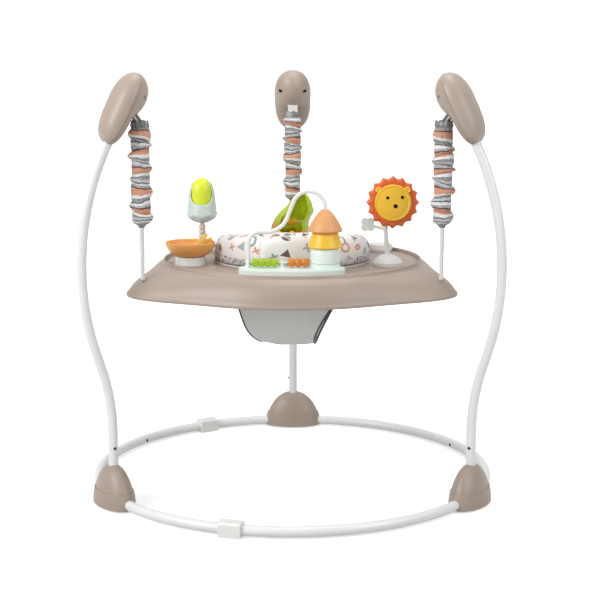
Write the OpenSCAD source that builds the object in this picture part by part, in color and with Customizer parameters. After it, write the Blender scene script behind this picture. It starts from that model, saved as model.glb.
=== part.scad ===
// Baby jumper: a round floor frame with three bowed legs, three sprung hangers
// and a toy tray that carries a turning seat. Millimetres, +Z up, the child
// looks along -Y. The origin is the middle of the bounding box, on the floor.

/* [Floor ring] */
// Radius of the floor ring, to the middle of its tube
ring_r = 400; // [385:1:425]
// Outside diameter of the ring tube
ring_d = 20; // [18:0.5:22]
// Wall of every steel tube
tube_wall = 1.5; // [1.2:0.1:2]
// Height of the ring tube above the floor
ring_lift = 3; // [2:0.5:6]
// Length of the plug that joins two ring arcs, in degrees of the ring
spigot_span = 13; // [10:1:18]
// Width of a floor clip along the ring
clip_w = 42; // [34:1:50]
// Plastic round the tube in a floor clip
clip_wall = 5; // [4:0.5:7]
// Directions of the two floor clips, in degrees
clip_angles = [254, 120];

/* [Feet] */
// Foot size along the ring
foot_w = 126; // [116:1:136]
// Foot size across the ring
foot_t = 68; // [62:1:76]
// Height of a foot
foot_h = 82; // [76:1:92]
// Height of the lower half of a foot
foot_base_h = 33; // [30:1:38]
// Step by which the lower half stands proud of the cover
foot_step = 2; // [1:0.5:3]
// Wall of the moulded housings
shell_wall = 3; // [2.5:0.5:4]
// Thickness of the rubber foot pads
pad_h = 3; // [2:0.5:5]

/* [Legs] */
// Outside diameter of the leg tube
leg_d = 19; // [18:0.5:20]
// Height of the seam between the leg stub and the leg
seam_z = 126; // [120:1:136]
// Length of the leg plug inside its stub
plug_len = 32; // [28:1:40]
// Straight length above the seam
leg_straight = 22; // [16:1:30]
// Bend radius where the leg leaves the foot
bend_low_r = 400; // [360:5:440]
// Bend radius where the leg comes back to upright
bend_mid_r = 510; // [470:5:550]
// Angle of the outward sweep
sweep_out = 18; // [16:0.5:19]
// Straight length between the two lower bends
sweep_straight = 34; // [26:1:42]
// Bend radius of the upper leg
bend_top_r = 520; // [490:5:550]
// Angle by which the upper leg leans in
lean_in = 27.5; // [26:0.5:29]
// Length of the leg inside the spring head
head_grip = 40; // [32:1:46]

/* [Spring heads] */
// Length of a spring head above its lower end
head_len = 142; // [136:1:148]
// Width of a spring head
head_w = 79; // [74:1:84]
// Thickness of a spring head
head_t = 50; // [46:1:52]
// Reach of the snout beyond the head's middle plane
snout_reach = 33; // [30:1:36]
// Distance between the two screw holes of a head
eye_gap = 52; // [46:1:56]
// Height of the screw holes along the head
eye_h = 100; // [94:1:106]

/* [Springs and straps] */
// How far a spring hangs inside its hanger pin, towards the middle
hang_in = 19.59; // [16:0.01:24]
// Drop from a hanger pin to the top of the spring sleeve
hang_drop = 35.29; // [30:0.01:41]
// Length of the spring sleeve
sleeve_len = 178; // [168:1:188]
// Outside diameter of the sleeve at a gather
sleeve_d = 42; // [40:1:46]
// Number of gathers in a sleeve
gathers = 8; // [7:1:10]
// Mean diameter of the coil spring
coil_d = 26; // [24:0.5:27]
// Diameter of the spring wire
wire_d = 3; // [2:0.2:3.4]
// Turns of the coil spring
turns = 10; // [8:1:12]
// Width of the white tray strap
strap_w = 9; // [7:0.5:11]
// Thickness of the white tray strap
strap_t = 3; // [2:0.5:4]
// Width of the webbing loop in a head
loop_w = 22; // [18:1:26]

/* [Tray] */
// Height of the tray deck
deck_z = 452; // [440:1:460]
// Radius of the round deck
deck_r = 262; // [256:1:268]
// Height of the lip round the deck
lip_h = 6; // [4:0.5:8]
// Reach of a tray corner beyond its spring
tip_over = 27; // [24:1:33]
// Reach of the tray beyond the deck, between corners
side_over = 32; // [26:1:36]
// Height of the lower edge at a corner
tip_z = 404; // [400:1:408]
// Height of the lower edge between corners
side_z = 397; // [392:1:400]
// Wall of the tray moulding
tray_wall = 3; // [2.5:0.5:4]
// Sharpness of the tray corners
lobe_power = 5; // [4:0.5:6]

/* [Seat] */
// Width of the deck between the seat opening and its edge
deck_band = 112; // [110:1:116]
// Running gap between the seat ring and the tray
seat_gap = 0.3; // [0.2:0.05:0.5]
// Overhang of the seat pad beyond the seat opening
pad_over = 9; // [7:1:10]
// Width of the seat pad's ring
pad_w = 48; // [44:1:54]
// Height of the pad crest at the front of the tray
crest_front_z = 516; // [508:1:522]
// Height of the pad crest at the back of the tray
crest_back_z = 490; // [484:1:498]
// Height of the bottom of the seat sling
sling_z = 281; // [270:1:295]
// Width of the sling between the legs
crotch_w = 112; // [104:1:120]
// Thickness of the sling fabric
cloth_t = 2.4; // [2:0.2:3]

/* [Toys] */
// Distance of the toy plate's middle inside the edge of the deck
plate_set = 57; // [55:1:59]
// Width of the toy plate
plate_w = 66; // [60:1:70]
// Height of the toy plate
plate_h = 13; // [11:1:15]
// Half length of the toy plate, in degrees
plate_half = 19.5; // [18:0.5:21]
// Diameter of the bead wire
bead_wire_d = 8; // [7:0.5:9]
// Widest diameter of the stacking cones
cone_d = 66; // [58:1:68]
// Running gap of the spinning toys on their pins
spin_gap = 0.06; // [0.03:0.01:0.1]
// Diameter of the toy bowl at its rim
bowl_d = 100; // [94:1:102]
// Diameter of the tulip cup
tulip_d = 62; // [54:1:66]
// Diameter of the lion's mane
mane_d = 98; // [90:1:104]
// Points round the mane
scallops = 16; // [12:1:20]
// Distance of the bowl inside the edge of the deck
bowl_set = 51; // [49:1:53]
// Distance of the tulip inside the edge of the deck
tulip_set = 37; // [36:1:42]
// Distance of the lion inside the edge of the deck
lion_set = 59; // [56:1:62]
// Distance of the small dish inside the edge of the deck
dish_set = 36; // [34:1:42]
// Distance of the leaf hood inside the edge of the deck
hood_set = 55; // [53:1:58]

/* [Hidden] */
$fn = 64;

// Directions of the three legs: left, right and rear
left = 210;
right = 330;
rear = 90;
legs = [left, right, rear];
// Directions of the three joints of the ring, half way between the legs
ring_joints = [270, 30, 150];

// Clearances: a push fit inside one body, and room beside a moving piece
push_gap = 0.1;
air = 0.3;

ring_z = ring_lift + ring_d / 2;
ring_in_r = ring_d / 2 - tube_wall;
leg_in_r = leg_d / 2 - tube_wall;

// The leg's centre line, from the seam to the head, as [radius, height]
low_r = ring_r + bend_low_r * (1 - cos(sweep_out));
low_z = seam_z + leg_straight + bend_low_r * sin(sweep_out);
mid_r = low_r + sweep_straight * sin(sweep_out);
mid_z = low_z + sweep_straight * cos(sweep_out);
bow_r = mid_r + bend_mid_r * (1 - cos(sweep_out));
bow_z = mid_z + bend_mid_r * sin(sweep_out);
neck_r = bow_r - bend_top_r * (1 - cos(lean_in));
neck_z = bow_z + bend_top_r * sin(lean_in);

// The bounding box reaches from the front of the ring to the bow of the rear leg
mid_y = (bow_r + leg_d / 2 - ring_r - ring_d / 2) / 2;

button_d = 6;
button_travel = 3;
button_proud = 2;
leg_button_z = seam_z - 12;

screw_d = 4;
screw_head_d = 7;
screw_head_h = 2.5;
// The two screws of a foot stand on either side of the ring tube
foot_screw = [ring_d / 2 + 8.5, 28];
foot_pad_y = 26;
foot_boss_r = screw_d / 2 + shell_wall;
foot_boss_far = 1 + foot_boss_r / norm(foot_screw);
collar_top = foot_h - 2 * shell_wall;
// A screw boss rises into the wall of the dome above it
boss_h = (foot_h - shell_wall / 2) * sqrt(1
  - pow(foot_screw[0] * foot_boss_far / (foot_t / 2 - shell_wall / 2), 2)
  - pow(foot_screw[1] * foot_boss_far / (foot_w / 2 - shell_wall / 2), 2)) - foot_base_h;

// Hanger pin inside the head, in the head's own frame
hanger_pin_d = 6;
hanger_x = -13;
hanger_h = 74;
// Where the hanger pin lies in the plane of a leg, as [radius, height]
hanger_pt = [neck_r + hanger_x * cos(lean_in) - hanger_h * sin(lean_in),
             neck_z + hanger_x * sin(lean_in) + hanger_h * cos(lean_in)];
// The springs hang from the pins, and the tray's corners follow the springs
spring_r = hanger_pt[0] - hang_in;
sleeve_top = hanger_pt[1] - hang_drop;
tip_r = spring_r + tip_over;
side_r = deck_r + side_over;
sleeve_bottom = sleeve_top - sleeve_len;
cap_r = coil_d / 2 + wire_d / 2 + 0.6;
coil_steps = 8;
coil_sides = 6;
// The coil is drawn in straight steps, so its inside is a little tighter
cap_neck_r = coil_d / 2 * cos(180 / coil_steps) - wire_d / 2 - air;
cap_h = 9;
cap_neck_h = 15;
hook_pin_d = 5;
hook_z = sleeve_top + 9;
strap_dip = 7;
anchor_z = 428;

// The seat opening and all toys keep their distance from the edge of the deck
seat_hole_r = deck_r - deck_band;
pad_r = seat_hole_r + pad_over;
pad_in_r = pad_r - pad_w;
plate_r = deck_r - plate_set;
seat_ring_r = seat_hole_r - seat_gap;
seat_ring_wall = 4;
seat_flange_h = 4;
seat_flange_in_r = seat_hole_r - 30;
seat_skirt = 22;
pad_z = deck_z + seat_gap + seat_flange_h + push_gap;
sling_top_r = seat_ring_r - seat_ring_wall - air;
sling_hem = 38;

taupe = "#a8968a";
white = "#f2f2f0";
mint = "#cfe3da";
lime = "#b5d334";
orange = "#e98b52";
yellow = "#f5bf3b";

// Helpers

module placed() translate([0, -mid_y, 0]) children();

module spoke(a) rotate([0, 0, a]) children();

// Frame of a spring head: +Z runs up the head, +X points away from the child
module head_frame(a) spoke(a) translate([neck_r, 0, neck_z]) rotate([0, -lean_in, 0]) children();

// Lengths of tube stop a little short of each joint, and a thin swaged ring
// joins them, so that every joint is one clean solid
joint_trim = 0.25;
joint_ring = 1.4;
joint_lip = 0.05;

module tube(len, r, wall) difference() {
  cylinder(h = len, r = r);
  if (wall < r) translate([0, 0, -1]) cylinder(h = len + 2, r = r - wall);
}

module trimmed_tube(len, r, wall) translate([0, 0, joint_trim]) tube(len - 2 * joint_trim, r, wall);

module joint(r, wall)
  translate([0, 0, -joint_ring / 2]) tube(joint_ring, r + joint_lip, wall + 2 * joint_lip);

// An arc of tube in the XZ plane: it starts at the origin going up, and bends
// towards +X when bend_r is positive, towards -X when it is negative
module tube_arc(bend_r, angle, r, wall) {
  trim = joint_trim / abs(bend_r) * 180 / PI;
  turn = angle - 2 * trim;
  translate([bend_r, 0, 0]) rotate([90, 0, 0]) rotate([0, 0, bend_r > 0 ? 180 - angle + trim : trim])
    rotate_extrude(angle = turn, $fn = 128) translate([abs(bend_r), 0]) difference() {
      circle(r = r);
      if (wall < r) circle(r = r - wall);
    }
}

// A stadium-shaped slab: two round ends and a straight middle along Y
module slab(len, w, h) {
  for (s = [-1, 1]) translate([0, s * (len - w) / 2, 0]) cylinder(h = h, r = w / 2);
  translate([-w / 2, -(len - w) / 2, 0]) cube([w, len - w, h]);
}

// Faces of a closed skin over rings of points; the last ring meets the first
function loop_faces(cols, rows) = [
  for (c = [0 : cols - 1], r = [0 : rows - 1])
    let (c2 = (c + 1) % cols, r2 = (r + 1) % rows,
         p = c * rows + r, q = c2 * rows + r, s = c2 * rows + r2, t = c * rows + r2)
    each [[p, s, q], [p, t, s]]
];

// Faces along a row of rings, open at both ends
function side_faces(cols, rows) = [
  for (c = [0 : cols - 2], r = [0 : rows - 1])
    let (r2 = (r + 1) % rows, p = c * rows + r, q = (c + 1) * rows + r,
         s = (c + 1) * rows + r2, t = c * rows + r2)
    each [[p, s, q], [p, t, s]]
];

// The same with a flat fan at each end
function rod_faces(cols, rows) = let (last = (cols - 1) * rows) concat(
  side_faces(cols, rows),
  [for (r = [1 : rows - 2]) each [[0, r + 1, r], [last, last + r, last + r + 1]]]
);

// The same for a band: its ring runs along one skin and back along the other
function band_faces(cols, half) = let (rows = 2 * half, last = (cols - 1) * rows) concat(
  side_faces(cols, rows),
  [for (r = [0 : half - 2]) let (b = rows - 1 - r) each [
    [r, b, r + 1], [r + 1, b, b - 1],
    [last + r, last + r + 1, last + b], [last + r + 1, last + b - 1, last + b]]]
);

// Floor ring

module button_hole(depth) translate([0, 0, -depth])
  cylinder(h = depth + ring_d, r = button_d / 2 + spin_gap);

// A ring button's frame: at the tube's middle, +Z towards the ring's middle
module ring_button_frame(a) spoke(a - spigot_span / 4) translate([ring_r, 0, ring_z])
  rotate([0, -90, 0]) children();

module ring_arc(a) color(white) placed() difference() {
  spoke(a - 60) translate([0, 0, ring_z]) rotate_extrude(angle = 120, $fn = 180) translate([ring_r, 0])
    difference() {
    circle(r = ring_d / 2);
    circle(r = ring_in_r);
  }
  for (j = ring_joints) ring_button_frame(j) button_hole(0);
}

module ring_plugs() color("silver") placed() for (j = ring_joints) difference() {
  spoke(j - spigot_span / 2) translate([0, 0, ring_z]) rotate_extrude(angle = spigot_span, $fn = 180)
    translate([ring_r, 0]) difference() {
      circle(r = ring_in_r - push_gap);
      circle(r = ring_in_r - push_gap - tube_wall);
    }
  ring_button_frame(j) button_hole(0);
}

// A spring button: a domed pin with a collar that stops it inside the tube
module snap_button(tube_r, in_r) {
  collar_h = 1.5;
  cylinder(h = tube_r + button_proud - button_d / 4, r = button_d / 2);
  translate([0, 0, tube_r + button_proud - button_d / 4])
    cylinder(h = button_d / 4, r1 = button_d / 2, r2 = button_d / 4);
  translate([0, 0, in_r - collar_h - 1.6]) cylinder(h = collar_h, r = button_d / 2 + 0.8);
}

module ring_button(a) color("dimgray") placed()
  ring_button_frame(a) translate([0, 0, -0.2]) snap_button(ring_d / 2, ring_in_r - push_gap - tube_wall);

module floor_clips() color(white) placed() for (a = clip_angles) difference() {
  spoke(a) translate([ring_r, 0, 0]) floor_clip_block();
  translate([0, 0, ring_z]) rotate_extrude($fn = 180) translate([ring_r, 0])
    circle(r = ring_d / 2 + push_gap);
}

module floor_clip_block() {
  side = ring_d + 2 * clip_wall;
  height = ring_z + ring_d / 2 + clip_wall;
  round_r = 6;
  translate([0, clip_w / 2, 0]) rotate([90, 0, 0]) linear_extrude(clip_w) difference() {
    union() {
      for (s = [-1, 1]) translate([s * (side / 2 - round_r), height - round_r]) circle(r = round_r);
      translate([-side / 2, 0]) square([side, height - round_r]);
      translate([-side / 2 + round_r, 0]) square([side - 2 * round_r, height]);
    }
    translate([-ring_d / 4, -1]) square([ring_d / 2, ring_z]);
  }
}

// Feet

module ellipsoid(x, y, z) scale([x / z, y / z, 1]) sphere(r = z);

// A slice of a foot's outer form, half an ellipsoid that stands on the floor
module foot_slice(grow, from, to) intersection() {
  ellipsoid(foot_t / 2 + grow, foot_w / 2 + grow, foot_h + grow);
  translate([-foot_t, -foot_w, from]) cube([2 * foot_t, 2 * foot_w, to - from]);
}

// Room for the ring tube where it runs through the foot
module ring_passage() translate([0, 0, ring_z]) rotate_extrude($fn = 180) translate([ring_r, 0])
  circle(r = ring_d / 2 + air);

module foot_bases() color(taupe) placed() for (a = legs) difference() {
  spoke(a) translate([ring_r, 0, 0]) {
    difference() {
      foot_slice(foot_step, pad_h, foot_base_h);
      foot_slice(foot_step - shell_wall, pad_h + shell_wall, foot_base_h + 1);
      for (s = [-1, 1]) translate(s * foot_screw) cylinder(h = foot_h, r = screw_d / 2 + push_gap);
    }
  }
  ring_passage();
}

module foot_covers() color(taupe) placed() for (a = legs) spoke(a) translate([ring_r, 0, 0]) difference() {
  union() {
    difference() {
      foot_slice(0, foot_base_h, foot_h + 1);
      foot_slice(-shell_wall, foot_base_h - 1, foot_h + 1);
    }
    translate([0, 0, foot_base_h]) cylinder(h = collar_top - foot_base_h, r = leg_d / 2 + shell_wall);
    for (s = [-1, 1]) translate(s * foot_screw) translate([0, 0, foot_base_h])
      cylinder(h = boss_h, r = foot_boss_r);
  }
  translate([0, 0, foot_base_h - 1]) cylinder(h = foot_h, r = leg_d / 2 + push_gap);
  for (s = [-1, 1]) translate(s * foot_screw) cylinder(h = foot_base_h + 10, r = screw_d / 2);
}

module foot_pads() color("#55504c") placed() for (a = legs, s = [-1, 1]) spoke(a)
  translate([ring_r, s * foot_pad_y, 0]) slab(foot_t * 0.62, foot_t * 0.36, pad_h);

module housing_screw(len) {
  cylinder(h = screw_head_h, r = screw_head_d / 2);
  cylinder(h = len, r = screw_d / 2 - 0.02);
}

module housing_screws() color("dimgray") placed() {
  for (a = legs, s = [-1, 1]) spoke(a)
    translate([ring_r + s * foot_screw[0], s * foot_screw[1], pad_h - screw_head_h])
    housing_screw(foot_base_h + 9);
  for (a = legs, s = [-1, 1]) head_frame(a) translate([-eye_floor, s * eye_gap / 2, eye_h])
    rotate([0, 90, 0])
    housing_screw(eye_floor + 12);
}

// Legs

module leg_stubs() color(white) placed() for (i = [0 : 2]) spoke(legs[i]) translate([ring_r, 0, 0])
  difference() {
  stub_z = ring_z + ring_d / 2 + air;
  translate([0, 0, stub_z]) tube(seam_z - stub_z, leg_d / 2, tube_wall);
  leg_button_frame(i) button_hole(0);
}

// The left and rear buttons face round the ring one way, the right one the other
button_sides = [1, -1, 1];

module leg_button_frame(i) translate([0, 0, leg_button_z]) rotate([-90 * button_sides[i], 0, 0]) children();

// The swaged plug and the straight length above the seam, as one turned profile
module leg_foot() {
  plug_r = leg_in_r - push_gap;
  bore_r = plug_r - tube_wall;
  step_z = seam_z + 2 * tube_wall;
  top_z = seam_z + leg_straight - joint_trim;
  rotate_extrude() polygon([
    [bore_r, seam_z - plug_len], [plug_r, seam_z - plug_len], [plug_r, seam_z], [leg_d / 2, seam_z],
    [leg_d / 2, top_z], [leg_in_r, top_z], [leg_in_r, step_z], [bore_r, step_z]
  ]);
}

module leg(i) color(white) placed() spoke(legs[i]) {
  r = leg_d / 2;
  translate([ring_r, 0, 0]) difference() {
    leg_foot();
    leg_button_frame(i) button_hole(0);
  }
  translate([ring_r, 0, seam_z + leg_straight]) {
    joint(r, tube_wall);
    tube_arc(bend_low_r, sweep_out, r, tube_wall);
  }
  translate([low_r, 0, low_z]) rotate([0, sweep_out, 0]) {
    joint(r, tube_wall);
    trimmed_tube(sweep_straight, r, tube_wall);
    translate([0, 0, sweep_straight]) joint(r, tube_wall);
    translate([0, 0, sweep_straight]) tube_arc(-bend_mid_r, sweep_out, r, tube_wall);
  }
  translate([bow_r, 0, bow_z]) {
    joint(r, tube_wall);
    tube_arc(-bend_top_r, lean_in, r, tube_wall);
  }
  translate([neck_r, 0, neck_z]) rotate([0, -lean_in, 0]) {
    joint(r, tube_wall);
    trimmed_tube(head_grip, r, tube_wall);
  }
}

module leg_button(i) color("dimgray") placed() spoke(legs[i]) translate([ring_r, 0, 0])
  leg_button_frame(i) snap_button(leg_d / 2, leg_in_r - push_gap - tube_wall);

// Spring heads

head_low = -4;
eye_floor = 13;

// The shell sits a little outside the leg's line
head_shift = 3;
snout_r = 20;
head_top_h = 38;
head_steps = 8;

// Half profile of a head, as [half width, height], drawn in by inset
function head_profile(inset) =
  let (low_y = head_w * 0.42 - inset, low_h = head_t / 2 - inset, low_at = head_low + head_t / 2,
       top_y = head_w / 2 - inset, top_h = head_top_h - inset, top_at = head_len - head_top_h)
  concat(
    [for (k = [0 : head_steps]) let (b = 90 * k / head_steps) [low_y * sin(b), low_at - low_h * cos(b)]],
    [for (k = [0 : head_steps]) let (b = 90 * k / head_steps) [top_y * cos(b), top_at + top_h * sin(b)]]
  );

module head_body(inset) translate([head_shift, 0, 0]) scale([head_t / head_w, 1, 1])
  rotate_extrude($fn = 96)
  polygon(head_profile(inset));

module head_snout(inset) translate([snout_r - snout_reach, 0, eye_h + 3])
  ellipsoid(snout_r - inset, head_w * 0.44 - inset, snout_r + 2 - inset);

// The socket that holds the top of the leg
module head_socket() translate([0, 0, head_low + 4.5])
  cylinder(h = head_grip - head_low - 2, r = leg_d / 2 + shell_wall);

module screw_boss(from, to) for (s = [-1, 1]) translate([from, s * eye_gap / 2, eye_h]) rotate([0, 90, 0])
  cylinder(h = to - from, r = screw_head_d / 2 + 2);

module head_cuts() {
  translate([0, 0, head_low - 10])
    cylinder(h = head_grip - head_low + 10 + push_gap, r = leg_d / 2 + push_gap);
  for (s = [-1, 1]) translate([-head_t, s * eye_gap / 2, eye_h]) rotate([0, 90, 0]) {
    cylinder(h = head_t - eye_floor + screw_head_h + push_gap, r = screw_head_d / 2 + push_gap);
    cylinder(h = head_t + 12, r = screw_d / 2);
  }
}

module half_space(back) translate([back ? 0 : -200, -100, -100]) cube([200, 200, 400]);

// The back half: half the shell, half the leg socket and the screw bosses
module head_back(a) color(taupe) placed() head_frame(a) difference() {
  intersection() {
    union() {
      difference() {
        head_body(0);
        head_body(shell_wall);
      }
      head_socket();
    }
    half_space(true);
  }
  head_cuts();
}

// The face half also carries the snout and the lugs of the hanger pin
module head_face(a) color(taupe) placed() head_frame(a) difference() {
  union() {
    intersection() {
      union() {
        difference() {
          union() {
            head_body(0);
            head_snout(0);
          }
          head_body(shell_wall);
          head_snout(shell_wall);
        }
        head_socket();
      }
      half_space(false);
    }
    screw_boss(-head_t / 2 + shell_wall / 2, -air);
    for (s = [-1, 1]) translate([hanger_x - 9, s * (loop_w / 2 + 4) - 2, hanger_h - 6]) cube([20, 4, 12]);
  }
  head_cuts();
  translate([hanger_x, -loop_w, hanger_h]) rotate([-90, 0, 0])
    cylinder(h = 2 * loop_w, r = hanger_pin_d / 2 + push_gap);
  translate([-head_t - 40, -loop_w / 2 - 1, hanger_h - 26])
    cube([head_t + 40 + hanger_x + 6, loop_w + 2, 32]);
}

module hanger_pins() color("silver") placed() for (a = legs) head_frame(a)
  translate([hanger_x, -loop_w / 2 - 7, hanger_h]) rotate([-90, 0, 0])
    cylinder(h = loop_w + 14, r = hanger_pin_d / 2);

module belt(grow) hull() {
  translate(hanger_pt) circle(r = hanger_pin_d / 2 + grow, $fn = 32);
  translate([spring_r, hook_z]) circle(r = hook_pin_d / 2 + grow, $fn = 32);
}

module hanger_loops() color(white) placed() for (a = legs) spoke(a)
  translate([0, loop_w / 2, 0]) rotate([90, 0, 0]) linear_extrude(loop_w) difference() {
    belt(1.8);
    belt(push_gap);
  }

// Springs, sleeves and straps

module spring_cap() {
  cylinder(h = cap_h, r = cap_r);
  translate([0, 0, -cap_neck_h]) cylinder(h = cap_neck_h, r = cap_neck_r);
}

module spring_top_caps() color(white) placed() for (a = legs) spoke(a) translate([spring_r, 0, 0]) {
  translate([0, 0, sleeve_top - cap_h]) spring_cap();
  for (s = [-1, 1]) translate([-hook_pin_d / 2, s * (loop_w / 2 + 2) - 1.5, sleeve_top - 1])
    cube([hook_pin_d, 3, hook_z - sleeve_top + 1]);
  translate([0, -loop_w / 2 - 3.5, hook_z]) rotate([-90, 0, 0])
    cylinder(h = loop_w + 7, r = hook_pin_d / 2);
}

module spring_bottom_caps() color(white) placed() for (a = legs) spoke(a)
  translate([spring_r, 0, sleeve_bottom + cap_h])
  rotate([180, 0, 0]) difference() {
    spring_cap();
    translate([-strap_t / 2 - push_gap, -strap_w / 2 - push_gap, cap_h - strap_dip])
      cube([strap_t + 2 * push_gap, strap_w + 2 * push_gap, cap_h]);
  }

// The coil runs between the collars of its two caps
coil_bottom = sleeve_bottom + cap_h + wire_d / 2 + air;
coil_len = sleeve_len - 2 * cap_h - wire_d - 2 * air;

function coil_centre(t) = [coil_d / 2 * cos(360 * turns * t), coil_d / 2 * sin(360 * turns * t),
  coil_bottom + coil_len * t];
coil_gap = coil_len / turns * cos(atan(coil_len / turns / (PI * coil_d))) - wire_d;
echo(coil_gap_to_itself_mm = coil_gap);

module coil_springs() color("silver") placed() for (a = legs) spoke(a) translate([spring_r, 0, 0]) {
  n = turns * coil_steps;
  pts = [for (i = [0 : n]) let (t = i / n, ang = 360 * turns * t) for (k = [0 : coil_sides - 1])
    let (b = 360 * k / coil_sides, out = wire_d / 2 * cos(b))
    coil_centre(t) + [out * cos(ang), out * sin(ang), wire_d / 2 * sin(b)]];
  polyhedron(pts, rod_faces(n + 1, coil_sides));
}

// A gathered sleeve: puffs between tied necks, each puff pushed off centre
sleeve_cols = 12;
sleeve_rows = 4;
sleeve_in_r = cap_r + air;

function puff(h) = pow(abs(sin(180 * h * gathers)), 0.7);
function sleeve_out_r(h, a) =
  sleeve_in_r + 1.6 + (sleeve_d / 2 - sleeve_in_r - 1.6) * puff(h) * (0.88 + 0.12 * sin(a * 2 + 137
    * floor(h * gathers)));

module spring_sleeves() color("#c9a48c") placed() for (i = [0 : 2]) spoke(legs[i])
  translate([spring_r, 0, sleeve_bottom]) {
  n = gathers * sleeve_rows;
  // One column is the outline of the wall: up the outside and down the inside
  pts = [for (c = [0 : sleeve_cols - 1]) let (ang = 360 * c / sleeve_cols) each concat(
    [for (r = [0 : n])
      let (h = r / n, q = sleeve_out_r(h, ang + 40 * i)) [q * cos(ang), q * sin(ang), sleeve_len * h]],
    [for (e = [1, 0])
      let (q = sleeve_in_r / cos(180 / sleeve_cols)) [q * cos(ang), q * sin(ang), sleeve_len * e]])];
  polyhedron(pts, loop_faces(sleeve_cols, n + 3));
}

anchor_w = 13;
anchor_t = 10;
anchor_h = 20;

module tray_straps() color(white) placed() for (a = legs) spoke(a)
  translate([spring_r - strap_t / 2, -strap_w / 2, anchor_z - anchor_h / 2 + 2])
    cube([strap_t, strap_w, sleeve_bottom + strap_dip - 0.2 - (anchor_z - anchor_h / 2 + 2)]);

module strap_anchors() color(white) placed() for (a = legs) spoke(a)
  translate([spring_r, 0, anchor_z - anchor_h / 2]) difference() {
  union() {
    translate([-anchor_t / 2, -anchor_w / 2, 0]) cube([anchor_t, anchor_w, anchor_h]);
    translate([-anchor_t / 2 - 4, -anchor_w / 2 - 4, 0]) cube([anchor_t + 8, anchor_w + 8, 3]);
  }
  translate([-strap_t / 2 - push_gap, -strap_w / 2 - push_gap, 2])
    cube([strap_t + 2 * push_gap, strap_w + 2 * push_gap, anchor_h]);
}

// Tray

tray_cols = 72;
tray_rows = 5;
skirt_in_r = deck_r - 4;
skirt_top = deck_z + 1;

function lobe(a) = pow((1 + cos(3 * (a - rear))) / 2, lobe_power);
function rim_r(a) = side_r + (tip_r - side_r) * lobe(a);
function rim_z(a) = side_z + (tip_z - side_z) * lobe(a);
// A point of the skirt: t runs from the deck to the lower edge
function skirt_pt(a, t, wall) =
  let (r = skirt_in_r + (rim_r(a) - wall - skirt_in_r) * pow(sin(90 * t), 1.15),
       z = rim_z(a) + (skirt_top - wall - rim_z(a)) * pow(cos(90 * t), 1.15))
  [r * cos(a), r * sin(a), z];

module tray() color(taupe) placed() difference() {
  union() {
    tray_deck();
    tray_skirt();
  }
  for (a = legs) spoke(a)
    translate([spring_r - anchor_t / 2 - push_gap, -anchor_w / 2 - push_gap, anchor_z - 60])
    cube([anchor_t + 2 * push_gap, anchor_w + 2 * push_gap, 120]);
}

module tray_deck() {
  rotate_extrude($fn = 180) {
    translate([seat_hole_r, deck_z - tray_wall]) square([deck_r - seat_hole_r, tray_wall]);
    translate([deck_r - 5, deck_z - tray_wall]) square([5, tray_wall + lip_h - 2]);
    translate([deck_r - 2.5, deck_z + lip_h - 2.5]) circle(r = 2.5);
    translate([seat_hole_r, deck_z - seat_skirt + 4]) square([tray_wall, seat_skirt - 4]);
  }
}

module tray_skirt() {
  pts = [for (c = [0 : tray_cols - 1]) let (a = 360 * c / tray_cols) each concat(
    [for (r = [0 : tray_rows]) skirt_pt(a, r / tray_rows, tray_wall)],
    [for (r = [tray_rows : -1 : 0]) skirt_pt(a, r / tray_rows, 0)])];
  polyhedron(pts, loop_faces(tray_cols, 2 * tray_rows + 2));
}

// Seat

module seat_ring() color("#d8d4cf") placed() rotate_extrude($fn = 180) {
  translate([seat_ring_r - seat_ring_wall, deck_z - seat_skirt])
    square([seat_ring_wall, seat_skirt + seat_gap + seat_flange_h]);
  translate([seat_flange_in_r, deck_z + seat_gap])
    square([seat_ring_r + 8 - seat_flange_in_r, seat_flange_h]);
  translate([seat_ring_r - seat_ring_wall, deck_z - seat_skirt])
    square([seat_ring_wall + 2.5, 4 - seat_gap]);
}

pad_cols = 48;
pad_rows = 12;
pad_mid_r = (pad_r + pad_in_r) / 2;

function crest_z(a) = (crest_front_z + crest_back_z) / 2 - (crest_front_z - crest_back_z) / 2 * sin(a);
// Section of the pad: flat underneath, crowned above, drawn in at the foot
function pad_pt(a, b) =
  let (half = (pad_r - pad_in_r) / 2, c = cos(b), s = sin(b), rise = crest_z(a) - pad_z,
       puff = 1 + 0.02 * cos(8 * a),
       r = pad_mid_r + half * puff * sign(c) * pow(abs(c), 0.75) * (s < 0 ? 0.86 : 1),
       z = s < 0 ? pad_z + 0.3 * rise * max(0, 1 + s / 0.7) : pad_z + rise * (0.3 + 0.7 * pow(s,
         0.85) * (0.98 + 0.02 * cos(8 * a))))
  [r * cos(a), r * sin(a), z];

module seat_pad() color("#eeeae4") placed() {
  pts = [for (c = [0 : pad_cols - 1]) let (a = 360 * c / pad_cols)
    for (k = [0 : pad_rows - 1]) pad_pt(a, -90 + 360 * k / pad_rows)];
  polyhedron(pts, loop_faces(pad_cols, pad_rows));
}

sling_cols = 20;
sling_rows = 20;
sling_top = deck_z - seat_skirt + 16;
sling_band_r = sling_top_r - cloth_t - air;

// Half the gap between the front and back of the cloth at the sides
side_gap = 3;

// How sharply the sling draws in below its hem
sling_draw = 1.2;
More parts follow.
